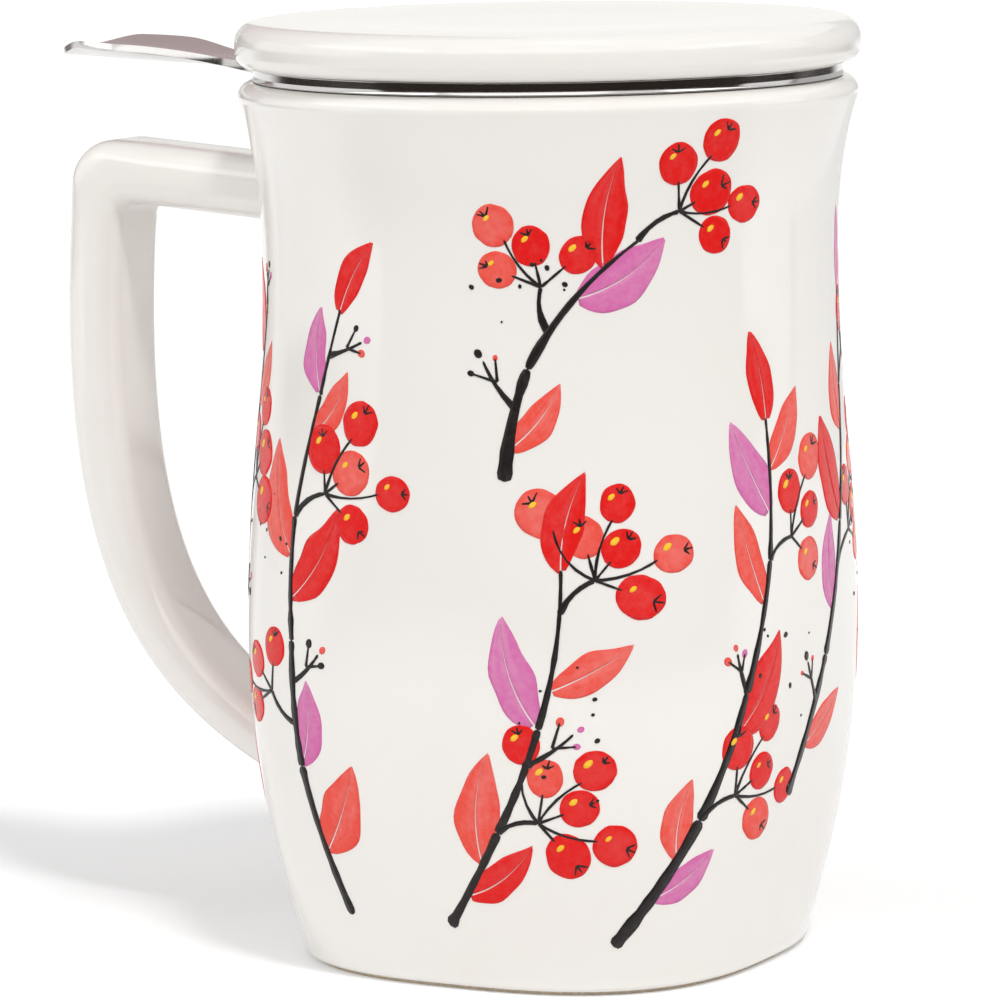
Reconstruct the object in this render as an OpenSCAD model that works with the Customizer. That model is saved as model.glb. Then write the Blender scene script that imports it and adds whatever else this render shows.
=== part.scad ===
// Lidded tea mug with a lift-out infuser of stainless steel.
// Millimetres, +Z up. The origin is on the mug's axis, in the plane that its foot stands on.
// The handle and the infuser's thumb tab both point along -X.

/* [Mug body] */
// Height of the lip above the table
mug_h = 116.7; // [108:0.1:126]
// Outer radius of the round lip
lip_r = 41; // [39.5:0.1:43]
// Outward slope of the wall just below the lip, as radius over height
lip_flare = 0.32; // [0.15:0.01:0.45]
// Radius of the outer rounding of the lip
lip_round = 2; // [1:0.1:2.2]
// Width of the flat land on top of the lip, where the infuser rests
lip_land = 0.8; // [0.4:0.1:1]
// Outer radius of the round waist
waist_r = 38.1; // [37:0.1:39]
// Height of the waist above the table
waist_z = 91.7; // [86:0.1:96]
// Half-width of the body across its flats at the belly
belly_w = 38.8; // [37.5:0.1:40.5]
// Height of the belly above the table
belly_z = 56.4; // [50:0.1:64]
// Half-width of the body across its flats, just above the foot
foot_w = 31.4; // [29:0.1:34]
// Outward slope of the wall at the foot, as radius over height
foot_slope = 0.31; // [0.1:0.01:0.45]
// Exponent of the rounded square at the foot, where 2 is a circle
foot_square = 2.7; // [2.1:0.05:3.2]
// Height above which the section is a full circle
round_z = 90; // [75:1:94]
// Height below which the section has the foot's full squareness
square_z = 20; // [10:1:35]
// Thickness of the ceramic wall
wall = 4; // [3.4:0.1:4.6]
// Thickness of the floor inside the foot ring
floor_t = 5.2; // [4:0.1:8]
// Radius of the fillet between the floor and the wall inside
floor_fillet = 9; // [4:0.5:14]

/* [Foot] */
// Height of the unglazed foot ring below the glazed wall
foot_h = 0.5; // [0.3:0.1:1]
// Radius of the rounding where the glazed wall ends above the foot ring
foot_round = 0.8; // [0.5:0.1:1.5]
// Step from the rounding in to the unglazed foot ring
foot_inset = 0.3; // [0.1:0.1:0.8]
// Width of the foot ring, measured on the flats
foot_ring = 3.6; // [2.5:0.1:6]
// Depth of the recess under the floor
foot_recess = 1.6; // [1.2:0.1:2.4]

/* [Handle] */
// Width of the handle, across the direction that it points in
handle_w = 14; // [11:0.1:17]
// Thickness of the arm and of the grip
handle_t = 8.3; // [7:0.1:10]
// Thickness of the handle's lower end
handle_root_t = 7.4; // [6.8:0.1:9]
// Radius of the handle's rounded corners
handle_corner = 3.3; // [2:0.1:3.3]
// Distance from the mug's axis to the handle's upper corner, on its centreline
elbow_x = 66.85; // [60:0.05:74]
// Height of that corner above the table
elbow_z = 103; // [98:0.1:108]
// Angle that the arm rises by and the grip leans out by, in degrees
handle_tilt = 4.5; // [0:0.5:7]
// Radius of the upper corner inside
elbow_inner = 2.5; // [1:0.1:5]
// Radius of the upper corner outside
elbow_outer = 6.2; // [4:0.1:10]
// Length over which the grip keeps its direction before it curves in
grip_pull = 55; // [40:1:62]
// Length over which the lower end keeps the direction in which it leaves the body
root_pull = 23; // [12:1:30]
// Angle at which the lower end leaves the body, above level, in degrees
root_angle = 27; // [15:1:40]
// Height of the centreline where the lower end leaves the middle of the wall
root_z = 21.3; // [18:0.1:30]
// Radius of the fillet where the handle joins the body
join_fillet = 1.6; // [0.5:0.1:2.5]

/* [Infuser] */
// Thickness of the steel sheet
sheet_t = 0.5; // [0.4:0.05:0.8]
// Distance from the lip's outer edge in to the rolled rim that rests on it
rim_inset = 1.95; // [1.2:0.05:2.4]
// Height of the rolled rim
rim_h = 1.7; // [1.4:0.1:2.2]
// Width of the rolled rim
rim_w = 1.7; // [1.4:0.1:2.4]
// Diameter of the rolled bead along the rim's lower edge
rim_bead = 0.7; // [0.5:0.05:0.8]
// Distance that the band above the bead stands back from it
rim_step = 0.2; // [0.1:0.05:0.3]
// Space between the basket and the waist of the mug inside
basket_gap = 1.7; // [1.2:0.1:3]
// Depth of the basket below the lip
basket_depth = 79; // [60:0.5:90]
// Height of the solid collar below the lip
collar_h = 12; // [8:0.5:20]
// Height of the solid cup that closes the basket's lower end
base_h = 6; // [4.5:0.1:10]
// Radius of the rounding at the bottom of the base cup
base_round = 2; // [1:0.1:3]
// Diameter of the basket's perforations
hole_d = 2; // [1:0.1:2.4]
// Number of perforations in one row round the basket
hole_columns = 24; // [12:1:36]
// Number of rows of perforations
hole_rows = 10; // [4:1:14]
// Distance between the perforations in the base
base_hole_pitch = 6; // [4:0.5:10]

/* [Thumb tab] */
// Length of the tab outside the rim
tab_length = 35; // [28:0.1:41]
// Half-width of the tab where it leaves the rim
tab_root_w = 12; // [10:0.5:16]
// Half-width of the tab at its neck
tab_neck_w = 4.6; // [4.5:0.1:8]
// Greatest half-width of the tab's leaf
tab_leaf_w = 9.4; // [8.5:0.1:13]
// Depth of the leaf's dish
tab_dish = 1.7; // [0.8:0.1:2.6]
// Thickness of the tab's sheet
tab_t = 1; // [0.6:0.1:1.2]
// Height of the tip above the root
tab_lift = 1.6; // [0:0.1:4]

/* [Lid] */
// Distance that the lid stands out past the lip
lid_overhang = 0.3; // [-0.5:0.05:2]
// Thickness of the lid's disc
lid_t = 5.9; // [5:0.1:8]
// Radius of the rounding round the top of the lid
lid_top_round = 2.8; // [1.5:0.1:3.2]
// Radius of the rounding round the bottom of the lid
lid_low_round = 1.9; // [1:0.1:2]
// Depth of the shallow dish in the top of the lid
lid_dish = 0.4; // [0:0.1:1]
// Distance from the lid's edge in to that dish
lid_dish_inset = 7.3; // [5:0.1:12]
// Depth of the locating ring under the lid
lid_ring_h = 3.8; // [2.5:0.1:6]
// Width of the locating ring
lid_ring_w = 3.4; // [2.5:0.1:5]
// Clearance between the locating ring and the inside of the basket
lid_ring_gap = 0.8; // [0.4:0.1:1.5]
// Radius of the rounding along the locating ring's lower edges
lid_ring_round = 0.8; // [0.3:0.1:1.2]

/* [Fits] */
// Gap between pieces that rest on each other
seat_gap = 0.1; // [0.05:0.01:0.2]
// Gap between sheets that are welded to each other
weld_gap = 0.03; // [0.02:0.01:0.1]

/* [Hidden] */

glaze = "#F3EFE9";
steel = "#B9B7B4";

// The lip's outer arc starts where the flaring wall runs into it.
flare_angle = atan(lip_flare);
flare_z = mug_h - lip_round * (1 + sin(flare_angle));
flare_r = lip_r - lip_round * (1 - cos(flare_angle));
foot_z = foot_h + foot_round;
land_r = lip_r - lip_round - lip_land;
lip_inner_round = max(0.2, land_r - flare_r + wall);

rim_r = lip_r - rim_inset;
basket_z = mug_h - basket_depth;
// The basket clears the narrowest place between its lower end and the lip.
basket_r = min(wall_w(basket_z), belly_w, waist_r, flare_r) - wall - basket_gap;
rim_z = mug_h + seat_gap;
lid_z = rim_z + rim_h + seat_gap;
collar_z = mug_h - collar_h;
lid_r = lip_r + lid_overhang;
lid_dish_r = lid_r - lid_dish_inset;
lid_ring_r = basket_r - sheet_t - lid_ring_gap;

body_sides = 72;
body_rings = 24;
round_steps = 5;
overlap = 0.4;

// ---- Curves ----

function ease(t) = let (c = min(1, max(0, t))) c * c * (3 - 2 * c);

// A smooth curve from radius r0 at z0 to r1 at z1, with slopes s0 and s1 at its ends.
function blend(z, z0, r0, s0, z1, r1, s1) =
    let (h = z1 - z0, t = (z - z0) / h)
    (2 * t ^ 3 - 3 * t ^ 2 + 1) * r0 + (t ^ 3 - 2 * t ^ 2 + t) * h * s0
    + (3 * t ^ 2 - 2 * t ^ 3) * r1 + (t ^ 3 - t ^ 2) * h * s1;

// How far a rounding of radius r has drawn back at a distance d inside its edge.
function round_in(r, d) = d >= r ? 0 : r - sqrt(r ^ 2 - (r - d) ^ 2);

// Half-width of the body across its flats, up to the place where the lip's arc starts.
function wall_w(z) =
    z < foot_z ? foot_w
    : z < belly_z ? blend(z, foot_z, foot_w, foot_slope, belly_z, belly_w, 0)
    : z < waist_z ? blend(z, belly_z, belly_w, 0, waist_z, waist_r, 0)
    : z < flare_z ? blend(z, waist_z, waist_r, 0, flare_z, flare_r, lip_flare)
    : flare_r;

// The same with the roundings at the foot and at the lip.
function skin_w(z) =
    z > flare_z ? lip_r - lip_round + sqrt(max(0, lip_round ^ 2 - (z - mug_h + lip_round) ^ 2))
    : wall_w(z) - round_in(foot_round, z - foot_h);

function squareness(z) = 2 + (foot_square - 2) * ease((round_z - z) / (round_z - square_z));

// One outline of the body, from a circle (n = 2) to a rounded square.
function outline(w, n, sides) = [
    for (i = [0:sides - 1])
        let (a = 360 * i / sides, r = w * (abs(cos(a)) ^ n + abs(sin(a)) ^ n) ^ (-1 / n))
        [r * cos(a), r * sin(a)]
];

// Distance of the body's outer surface from the plane x = 0, at a distance y to the side.
function skin_x(y, z) = let (n = squareness(z)) (skin_w(z) ^ n - abs(y) ^ n) ^ (1 / n);

// Radius of the round cavity inside the body.
function cavity_r(z) =
    wall_w(z) - wall - round_in(floor_fillet, z - floor_t)
    + round_in(lip_inner_round, mug_h - z);

// ---- Lofting ----

// A closed solid through rings of points that all have the same even number of points.
// The rings turn counterclockwise as seen from the end that the loft runs to.
// Each end is closed with a strip between the two halves of its ring.
module loft(rings) {
    n = len(rings[0]);
    last = (len(rings) - 1) * n;
    polyhedron(
        points = [for (ring = rings) each ring],
        faces = concat(
            [for (k = [0:n / 2 - 2]) each [[k, k + 1, n - 2 - k], [k, n - 2 - k, n - 1 - k]]],
            [for (j = [0:n:last - n]) for (k = [0:n - 1])
                let (a = j + k, b = j + (k + 1) % n)
                each [[a, a + n, b + n], [a, b + n, b]]],
            [for (k = [0:n / 2 - 2])
                each [[last + k, last + n - 2 - k, last + k + 1],
                      [last + k, last + n - 1 - k, last + n - 2 - k]]]
        ),
        convexity = 6
    );
}

// ---- Mug body ----

skin_levels = concat(
    [for (i = [0:round_steps - 1]) foot_z - foot_round * cos(90 * i / round_steps)],
    [for (i = [0:body_rings - 1]) foot_z + (flare_z - foot_z) * i / body_rings],
    [for (i = [0:round_steps])
        mug_h - lip_round + lip_round * sin(-flare_angle + (90 + flare_angle) * i / round_steps)]
);

// The outer skin between two heights, as a solid.
module skin(from = 0, to = mug_h) {
    loft([
        for (z = skin_levels)
            if (z >= from && z <= to)
                [for (p = outline(skin_w(z), squareness(z), body_sides)) [p.x, p.y, z]]
    ]);
}

module cavity() {
    steps = 26;
    top_steps = 5;
    bottom_steps = 7;
    profile = concat(
        [[0, floor_t]],
        [for (i = [0:bottom_steps - 1])
            let (z = floor_t + floor_fillet * (1 - cos(90 * i / bottom_steps)))
            [cavity_r(z), z]],
        [for (i = [0:steps])
            let (from = floor_t + floor_fillet, to = mug_h - lip_inner_round, z = from + (to - from) * i / steps)
            [cavity_r(z), z]],
        [for (i = [1:top_steps])
            let (z = mug_h - lip_inner_round * (1 - sin(90 * i / top_steps)))
            [cavity_r(z), z]],
        [[land_r, mug_h + 1], [0, mug_h + 1]]
    );
    rotate_extrude($fn = 96) polygon(profile);
}

module mug_body() {
    ring_w = foot_w - foot_round - foot_inset;
    color(glaze)
    difference() {
        union() {
            skin();
            linear_extrude(foot_h + overlap)
                polygon(outline(ring_w, foot_square, body_sides));
        }
        cavity();
        translate([0, 0, -1])
            linear_extrude(foot_recess + 1)
                polygon(outline(ring_w - foot_ring, foot_square, body_sides));
    }
}

// ---- Handle ----

function bezier(p, t) =
    p[0] * (1 - t) ^ 3 + p[1] * 3 * (1 - t) ^ 2 * t + p[2] * 3 * (1 - t) * t ^ 2 + p[3] * t ^ 3;

// The handle is drawn in its own plane, as [distance from the axis, height].
// Along the arm, up from the arm, and down along the grip:
arm_dir = [cos(handle_tilt), sin(handle_tilt)];
arm_up = [-sin(handle_tilt), cos(handle_tilt)];
grip_dir = -arm_up;

elbow = [elbow_x, elbow_z];
inner_centre = elbow - (handle_t / 2 + elbow_inner) * (arm_up + arm_dir);
outer_centre = elbow + (handle_t / 2 - elbow_outer) * (arm_up + arm_dir);
arm_start = elbow - arm_dir * (elbow_x - skin_w(elbow_z) + wall / 2) / arm_dir[0];
grip_start = elbow + grip_dir * (max(handle_t / 2 + elbow_inner, elbow_outer - handle_t / 2) + 0.5);
root = [skin_w(root_z) - wall / 2, root_z];
grip_curve = [
    grip_start,
    grip_start + grip_dir * grip_pull,
    root + root_pull * [cos(root_angle), sin(root_angle)],
    root
];

join_steps = 11;
elbow_steps = 8;
grip_steps = 20;

// Lengths of arm and of grip over which the fillet at the body runs out, and the depth inside the body
// at which the grip ends.
arm_join = wall / 2 + 2.5 * join_fillet;
root_join = arm_join + handle_root_t / 2;
root_depth = handle_root_t / 2;

// Direction of a curve at t.
function bezier_dir(p, t) =
    let (d = bezier(p, t + 0.01) - bezier(p, t - 0.01)) d / norm(d);

// The handle's inner and outer edge at a distance d along the arm, and at a share t of the grip.
function arm_edges(d) =
    let (m = arm_start + arm_dir * d)
    [m - arm_up * handle_t / 2, m + arm_up * handle_t / 2];
function grip_edges(t) =
    let (
        m = bezier(grip_curve, t),
        d = bezier_dir(grip_curve, t),
        half = (handle_t + (handle_root_t - handle_t) * t) / 2
    )
    [m - half * [-d[1], d[0]], m + half * [-d[1], d[0]]];

// The curve runs along its lower end at 3 * root_pull for each unit of t.
join_t = 1 - root_join / (3 * root_pull);
end_t = 1 + root_depth / (3 * root_pull);

// Both edges, point by point: the arm, the elbow's two arcs, the grip, and its end in the body.
handle_edges = concat(
    [for (i = [0:join_steps]) arm_edges(arm_join * i / join_steps)],
    [for (i = [0:elbow_steps])
        let (a = 90 + handle_tilt - 90 * i / elbow_steps, out = [cos(a), sin(a)])
        [inner_centre + elbow_inner * out, outer_centre + elbow_outer * out]],
    [for (i = [0:grip_steps - 1]) grip_edges(join_t * i / grip_steps)],
    [for (i = [0:join_steps]) grip_edges(join_t + (end_t - join_t) * i / join_steps)]
);

// The rounded corners of the handle's section, corner by corner: the side of the section across
// and outwards, and the direction from the corner's centre.
corner_steps = 4;
section_corners = [
    for (q = [0:3]) for (i = [0:corner_steps])
        let (a = 90 * (q + i / corner_steps))
        [(q == 0 || q == 3) ? 1 : -1, q < 2 ? 1 : -1, cos(a), sin(a)]
];

// How much the handle grows at a distance d outside the body's wall, which makes the fillet.
function join_growth(d) =
    let (s = 0.94 * (1 - min(1, max(0, d) / (1.5 * join_fillet))))
    join_fillet * (1 - sqrt(1 - s ^ 2));

// A point of the handle's surface between its edges, on one rounded corner c of radius r + grow.
function handle_point(edges, c, grow) =
    let (
        m = (edges[0] + edges[1]) / 2,
        half = norm(edges[1] - edges[0]) / 2,
        out = (edges[1] - m) / half,
        across = c[0] * (handle_w / 2 - handle_corner) + c[2] * (handle_corner + grow),
        up = c[1] * (half - handle_corner) + c[3] * (handle_corner + grow)
    )
    [-(m + out * up)[0], across, (m + out * up)[1]];

module mug_handle() {
    rings = [
        for (edges = handle_edges)
            [for (c = section_corners)
                let (bare = handle_point(edges, c, 0))
                handle_point(edges, c, join_growth(-bare.x - skin_x(bare.y, bare.z)))]
    ];
    color(glaze)
    difference() {
        loft(rings);
        skin(from = arm_start[1] - handle_t * 1.5, to = arm_start[1] + handle_t * 1.5);
        skin(from = root_z - handle_t * 1.5, to = root_z + handle_t * 2.5);
    }
}

// ---- Infuser ----

module infuser_rim() {
    corner = 0.4;
    band_w = rim_w - rim_step;
    color(steel)
    rotate_extrude($fn = 96) {
        translate([rim_r - rim_w, rim_z]) {
            translate([0, corner]) square([band_w, rim_h - 2 * corner]);
            translate([corner, corner]) square([band_w - 2 * corner, rim_h - corner]);
            translate([corner, 0]) square([rim_w - rim_bead / 2 - corner, rim_h / 2]);
            for (y = [corner, rim_h - corner]) translate([corner, y]) circle(corner, $fn = 24);
            translate([band_w - corner, rim_h - corner]) circle(corner, $fn = 24);
            translate([rim_w - rim_bead / 2, rim_bead / 2]) circle(rim_bead / 2, $fn = 24);
        }
        translate([basket_r + weld_gap, rim_z + rim_h - sheet_t])
            square([rim_r - rim_w / 2 - basket_r - weld_gap, sheet_t]);
        translate([basket_r + weld_gap, collar_z])
            square([sheet_t, rim_z + rim_h - collar_z]);
    }
}

module infuser_basket() {
    // The tube ends above the rounding inside the base cup.
    low = basket_z + max(base_round, sheet_t) + weld_gap;
    high = rim_z + rim_h - sheet_t;
    first_row = basket_z + base_h + hole_d;
    last_row = collar_z - hole_d;
    color(steel)
    difference() {
        translate([0, 0, low]) cylinder(h = high - low, r = basket_r, $fn = 96);
        translate([0, 0, low - 1]) cylinder(h = high - low + 2, r = basket_r - sheet_t, $fn = 96);
        for (row = [0:hole_rows - 1]) for (column = [0:hole_columns - 1])
            rotate([0, 0, 360 * (column + (row % 2) / 2) / hole_columns])
                translate([basket_r - 2 * sheet_t, 0, first_row + (last_row - first_row) * row / (hole_rows - 1)])
                    rotate([0, 90, 0]) cylinder(h = 3 * sheet_t, d = hole_d, $fn = 16);
    }
}

module infuser_base() {
    outer = basket_r + weld_gap + sheet_t;
    inner = outer - sheet_t;
    steps = 5;
    profile = concat(
        [[0, basket_z]],
        [for (i = [0:steps]) let (a = -90 + 90 * i / steps)
            [outer - base_round + base_round * cos(a), basket_z + base_round + base_round * sin(a)]],
        [[outer, basket_z + base_h], [inner, basket_z + base_h]],
        [for (i = [steps:-1:0]) let (a = -90 + 90 * i / steps, r = base_round - sheet_t)
            [inner - r + r * cos(a), basket_z + base_round + r * sin(a)]],
        [[0, basket_z + sheet_t]]
    );
    reach = floor((basket_r - base_round) / base_hole_pitch);
    color(steel)
    difference() {
        rotate_extrude($fn = 96) polygon(profile);
        for (i = [-reach:reach]) for (j = [-reach:reach])
            let (x = (i + (j % 2) / 2) * base_hole_pitch, y = j * base_hole_pitch * sin(60))
            if (norm([x, y]) < basket_r - 2 * base_round - hole_d)
                translate([x, y, basket_z - 1]) cylinder(h = sheet_t + 2, d = hole_d, $fn = 16);
    }
}

// ---- Thumb tab ----

// Shares of the tab's length at its neck and at the widest place of its leaf.
neck_at = 0.26;
leaf_at = 0.67;

// Half-width of the tab at a share u of its length: wide at the rim, a neck, then a pointed leaf.
function tab_w(u) =
    u < neck_at ? tab_neck_w + (tab_root_w - tab_neck_w) * (1 - u / neck_at) ^ 2.5
    : u < leaf_at ? blend(u, neck_at, tab_neck_w, 0, leaf_at, tab_leaf_w, 0)
    : tab_leaf_w * max(0, 1 - ((u - leaf_at) / (1 - leaf_at)) ^ 2) ^ 0.65;

// Rise of the tab's edges above its keel.
function tab_rise(u) = tab_dish * ease((u - 0.08) / 0.53) * (1 - 0.8 * ease((u - 0.8) / 0.2));

// A point of the tab at a share u of its length, v across from -1 to 1, and z above its middle sheet.
function tab_point(u, v, z) =
    let (
        y = v * tab_w(u),
        root_x = sqrt((rim_r + weld_gap) ^ 2 - y ^ 2),
        x = root_x + tab_length * u + (rim_r - root_x) * ease(u / neck_at)
    )
    [-x, y, rim_z + weld_gap + tab_t / 2 + z + tab_lift * u + tab_rise(u) * v ^ 2];

module infuser_tab() {
    steps = 22;
    across = 14;
    tip = 0.999;
    rings = [
        for (i = [0:steps])
            let (u = tip * (1 - (1 - i / steps) ^ 1.4))
            concat(
                [for (k = [0:across]) tab_point(u, 2 * k / across - 1, tab_t / 2)],
                [for (k = [across:-1:0]) tab_point(u, 2 * k / across - 1, -tab_t / 2)]
            )
    ];
    color(steel) loft(rings);
}

// ---- Lid ----

module lid() {
    steps = 7;
    // The lower edge leans in a little, so the widest place is below the top rounding.
    profile = concat(
        [[0, lid_z], [lid_r - 2 * lid_low_round, lid_z]],
        [for (i = [0:steps]) let (a = -90 + 90 * i / steps)
            [lid_r - lid_low_round + lid_low_round * cos(a), lid_z + lid_low_round + lid_low_round * sin(a)]],
        [for (i = [0:steps]) let (a = 90 * i / steps)
            [lid_r - lid_top_round + lid_top_round * cos(a), lid_z + lid_t - lid_top_round + lid_top_round * sin(a)]],
        [for (i = [0:steps]) let (s = i / steps)
            [lid_dish_r * (1 - s), lid_z + lid_t - lid_dish * ease(s * 1.6)]]
    );
    color(glaze)
    rotate_extrude($fn = 96) {
        polygon(profile);
        translate([lid_ring_r - lid_ring_w, lid_z - lid_ring_h]) {
            translate([0, lid_ring_round]) square([lid_ring_w, lid_ring_h - lid_ring_round + overlap]);
            translate([lid_ring_round, 0]) square([lid_ring_w - 2 * lid_ring_round, lid_ring_h]);
            for (x = [lid_ring_round, lid_ring_w - lid_ring_round])
                translate([x, lid_ring_round]) circle(lid_ring_round, $fn = 24);
        }
    }
}

mug_body();
mug_handle();
infuser_rim();
infuser_tab();
infuser_basket();
infuser_base();
lid();
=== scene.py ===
"""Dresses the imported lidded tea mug: its glazed body, handle and lid, its steel infuser, and the print."""

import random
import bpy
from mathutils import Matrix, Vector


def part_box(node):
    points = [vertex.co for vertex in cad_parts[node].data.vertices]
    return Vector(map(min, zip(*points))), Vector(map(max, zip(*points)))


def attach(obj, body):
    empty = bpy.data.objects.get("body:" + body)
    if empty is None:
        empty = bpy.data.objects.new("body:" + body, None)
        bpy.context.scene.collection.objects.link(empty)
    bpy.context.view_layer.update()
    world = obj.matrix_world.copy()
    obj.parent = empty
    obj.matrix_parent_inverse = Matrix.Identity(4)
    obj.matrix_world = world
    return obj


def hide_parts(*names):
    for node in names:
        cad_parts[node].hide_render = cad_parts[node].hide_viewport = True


bl_info = {
    "name": "Lidded tea mug",
    "version": (1, 0, 0),
    "blender": (4, 5, 0),
    "location": "3D View > Sidebar > Tea mug",
    "description": "Makes the finished pieces of a lidded tea mug with an infuser around its packed frame",
    "category": "Add Mesh",
}

from math import atan, cos, exp, pi, radians, sin, sqrt

import bmesh
import bpy
from bpy.props import FloatProperty, FloatVectorProperty, IntProperty
from mathutils import Matrix, Vector, noise

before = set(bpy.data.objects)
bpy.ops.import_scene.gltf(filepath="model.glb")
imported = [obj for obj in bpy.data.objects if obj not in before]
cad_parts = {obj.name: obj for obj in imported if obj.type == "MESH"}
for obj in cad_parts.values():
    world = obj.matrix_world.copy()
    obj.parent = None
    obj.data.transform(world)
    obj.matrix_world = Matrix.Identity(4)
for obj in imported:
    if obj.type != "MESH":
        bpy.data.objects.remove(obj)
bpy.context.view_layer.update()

MM = 0.001
FULL_TURN = 2 * pi

BODY_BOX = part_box("mug_body")
RIM_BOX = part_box("infuser_rim")
TAB_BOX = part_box("infuser_tab")
BASKET_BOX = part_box("infuser_basket")
BASE_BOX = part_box("infuser_base")
LID_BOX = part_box("lid")

MUG_H = BODY_BOX[1].z
LIP_R = BODY_BOX[1].x
RIM_R = RIM_BOX[1].x
RIM_TOP = RIM_BOX[1].z
COLLAR_Z = RIM_BOX[0].z
BASKET_R = BASKET_BOX[1].x
BASKET_TOP = BASKET_BOX[1].z
BASE_R = BASE_BOX[1].x
BASE_Z = BASE_BOX[0].z
BASE_H = BASE_BOX[1].z - BASE_Z
LID_R = LID_BOX[1].x
LID_TOP = LID_BOX[1].z
TAB_REACH = -TAB_BOX[0].x
TAB_ROOT_W = TAB_BOX[1].y


# ---- Sizes, colours and lights that a user may change ----


def length(name, description, millimetres):
    return FloatProperty(
        name=name, description=description, default=millimetres * MM, unit="LENGTH", precision=5
    )


def number(name, description, value):
    return FloatProperty(name=name, description=description, default=value)


def angle(name, description, value):
    return FloatProperty(name=name, description=description, default=radians(value), subtype="ANGLE")


def colour(name, description, value):
    return FloatVectorProperty(
        name=name, description=description, default=value, size=3, subtype="COLOR", min=0, max=1
    )


class MugForm(bpy.types.PropertyGroup):
    """Sizes of the ceramic pieces, as in the part's source."""

    lip_flare: number("Lip flare", "Outward slope of the wall just below the lip", 0.32)
    lip_round: length("Lip rounding", "Radius of the outer rounding of the lip", 2)
    lip_land: length("Lip land", "Width of the flat land on top of the lip", 0.8)
    waist_r: length("Waist radius", "Outer radius of the round waist", 38.1)
    waist_z: length("Waist height", "Height of the waist above the table", 91.7)
    belly_w: length("Belly half-width", "Half-width of the body across its flats at the belly", 38.8)
    belly_z: length("Belly height", "Height of the belly above the table", 56.4)
    foot_w: length("Foot half-width", "Half-width of the body across its flats above the foot", 31.4)
    foot_slope: number("Foot slope", "Outward slope of the wall at the foot", 0.31)
    foot_square: number("Foot squareness", "Exponent of the rounded square at the foot", 2.7)
    round_z: length("Round above", "Height above which the section is a full circle", 90)
    square_z: length("Square below", "Height below which the section has the foot's full squareness", 20)
    wall: length("Wall", "Thickness of the ceramic wall", 4)
    floor_t: length("Floor height", "Height of the floor inside", 5.2)
    floor_fillet: length("Floor fillet", "Radius between the floor and the wall inside", 9)
    foot_h: length("Foot height", "Height of the unglazed foot ring", 0.5)
    foot_round: length("Foot rounding", "Radius where the glazed wall ends above the foot ring", 0.8)
    foot_inset: length("Foot inset", "Step from that rounding in to the foot ring", 0.3)
    foot_ring: length("Foot ring", "Width of the foot ring", 3.6)
    foot_recess: length("Foot recess", "Depth of the recess under the floor", 1.6)


class MugHandle(bpy.types.PropertyGroup):
    """Sizes of the handle, as in the part's source."""

    width: length("Width", "Width of the handle across its direction", 14)
    thickness: length("Thickness", "Thickness of the arm and of the grip", 8.3)
    root_t: length("Root thickness", "Thickness of the handle's lower end", 7.4)
    corner: length("Corner", "Radius of the handle's rounded corners", 3.5)
    elbow_x: length("Elbow distance", "Distance of the upper corner from the axis, on the centreline", 66.85)
    elbow_z: length("Elbow height", "Height of the upper corner", 103)
    tilt: angle("Tilt", "Angle that the arm rises by and the grip leans out by", 4.5)
    elbow_inner: length("Inner elbow", "Radius of the upper corner inside", 2.5)
    elbow_outer: length("Outer elbow", "Radius of the upper corner outside", 6.2)
    grip_pull: length("Grip pull", "Length over which the grip keeps its direction", 55)
    root_pull: length("Root pull", "Length over which the lower end keeps its direction", 23)
    root_angle: angle("Root angle", "Angle at which the lower end leaves the body, above level", 27)
    root_z: length("Root height", "Height of the centreline in the middle of the wall", 21.3)
    fillet: length("Join fillet", "Reach of the fillet where the handle joins the body", 2.6)


class MugSteel(bpy.types.PropertyGroup):
    """Sizes of the infuser's finished pieces."""

    sheet: length("Sheet", "Thickness of the steel sheet", 0.5)
    bead: length("Bead", "Diameter of the rolled bead under the rim's band", 0.7)
    band_step: length("Band step", "Step from the bead in to the band above it", 0.2)
    hole_pitch: length("Hole pitch", "Distance between the basket's fine holes", 2.05)
    hole_share: number("Hole share", "Width of a fine hole as a share of the pitch", 0.56)
    tab_neck_w: length("Tab neck", "Half-width of the thumb tab at its neck", 4.6)
    tab_leaf_w: length("Tab leaf", "Greatest half-width of the thumb tab", 9.4)
    tab_dish: length("Tab dish", "Depth of the thumb tab's dish", 1.7)
    tab_t: length("Tab thickness", "Thickness of the thumb tab", 0.98)
    tab_lift: length("Tab lift", "Height of the tab's tip above its root", 1.6)


class MugFinish(bpy.types.PropertyGroup):
    """Colours and gloss of the materials."""

    glaze: colour("Glaze", "Main colour of the glaze", (0.846, 0.819, 0.784))
    glaze_warm: colour("Warm glaze", "Colour of the glaze where it lies thicker", (0.833, 0.802, 0.756))
    # Painted shade: the lid's glaze is drawn a little darker than the body's, to tone down the light on the
    # lid's top.
    lid_painted_shade: number("Lid shade", "How light the lid's glaze is beside the body's", 0.99)
    glaze_rough: number("Glaze roughness", "Roughness of the glaze", 0.09)
    bisque: colour("Bisque", "Colour of the unglazed foot", (0.60, 0.49, 0.36))
    steel: colour("Steel", "Colour of the polished steel", (0.66, 0.645, 0.63))
    steel_dull: colour("Worn steel", "Colour of the steel where it is scuffed", (0.58, 0.56, 0.545))
    red: colour("Red", "Strongest colour of the print", (0.72, 0.008, 0.007))
    coral: colour("Coral", "Lighter red of the print", (0.80, 0.075, 0.052))
    pink: colour("Pink", "Pink of the print", (0.63, 0.14, 0.38))
    ink: colour("Ink", "Dark colour of the print's stems", (0.018, 0.014, 0.014))
    yellow: colour("Yellow", "Small accents of the print", (0.92, 0.52, 0.012))


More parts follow.
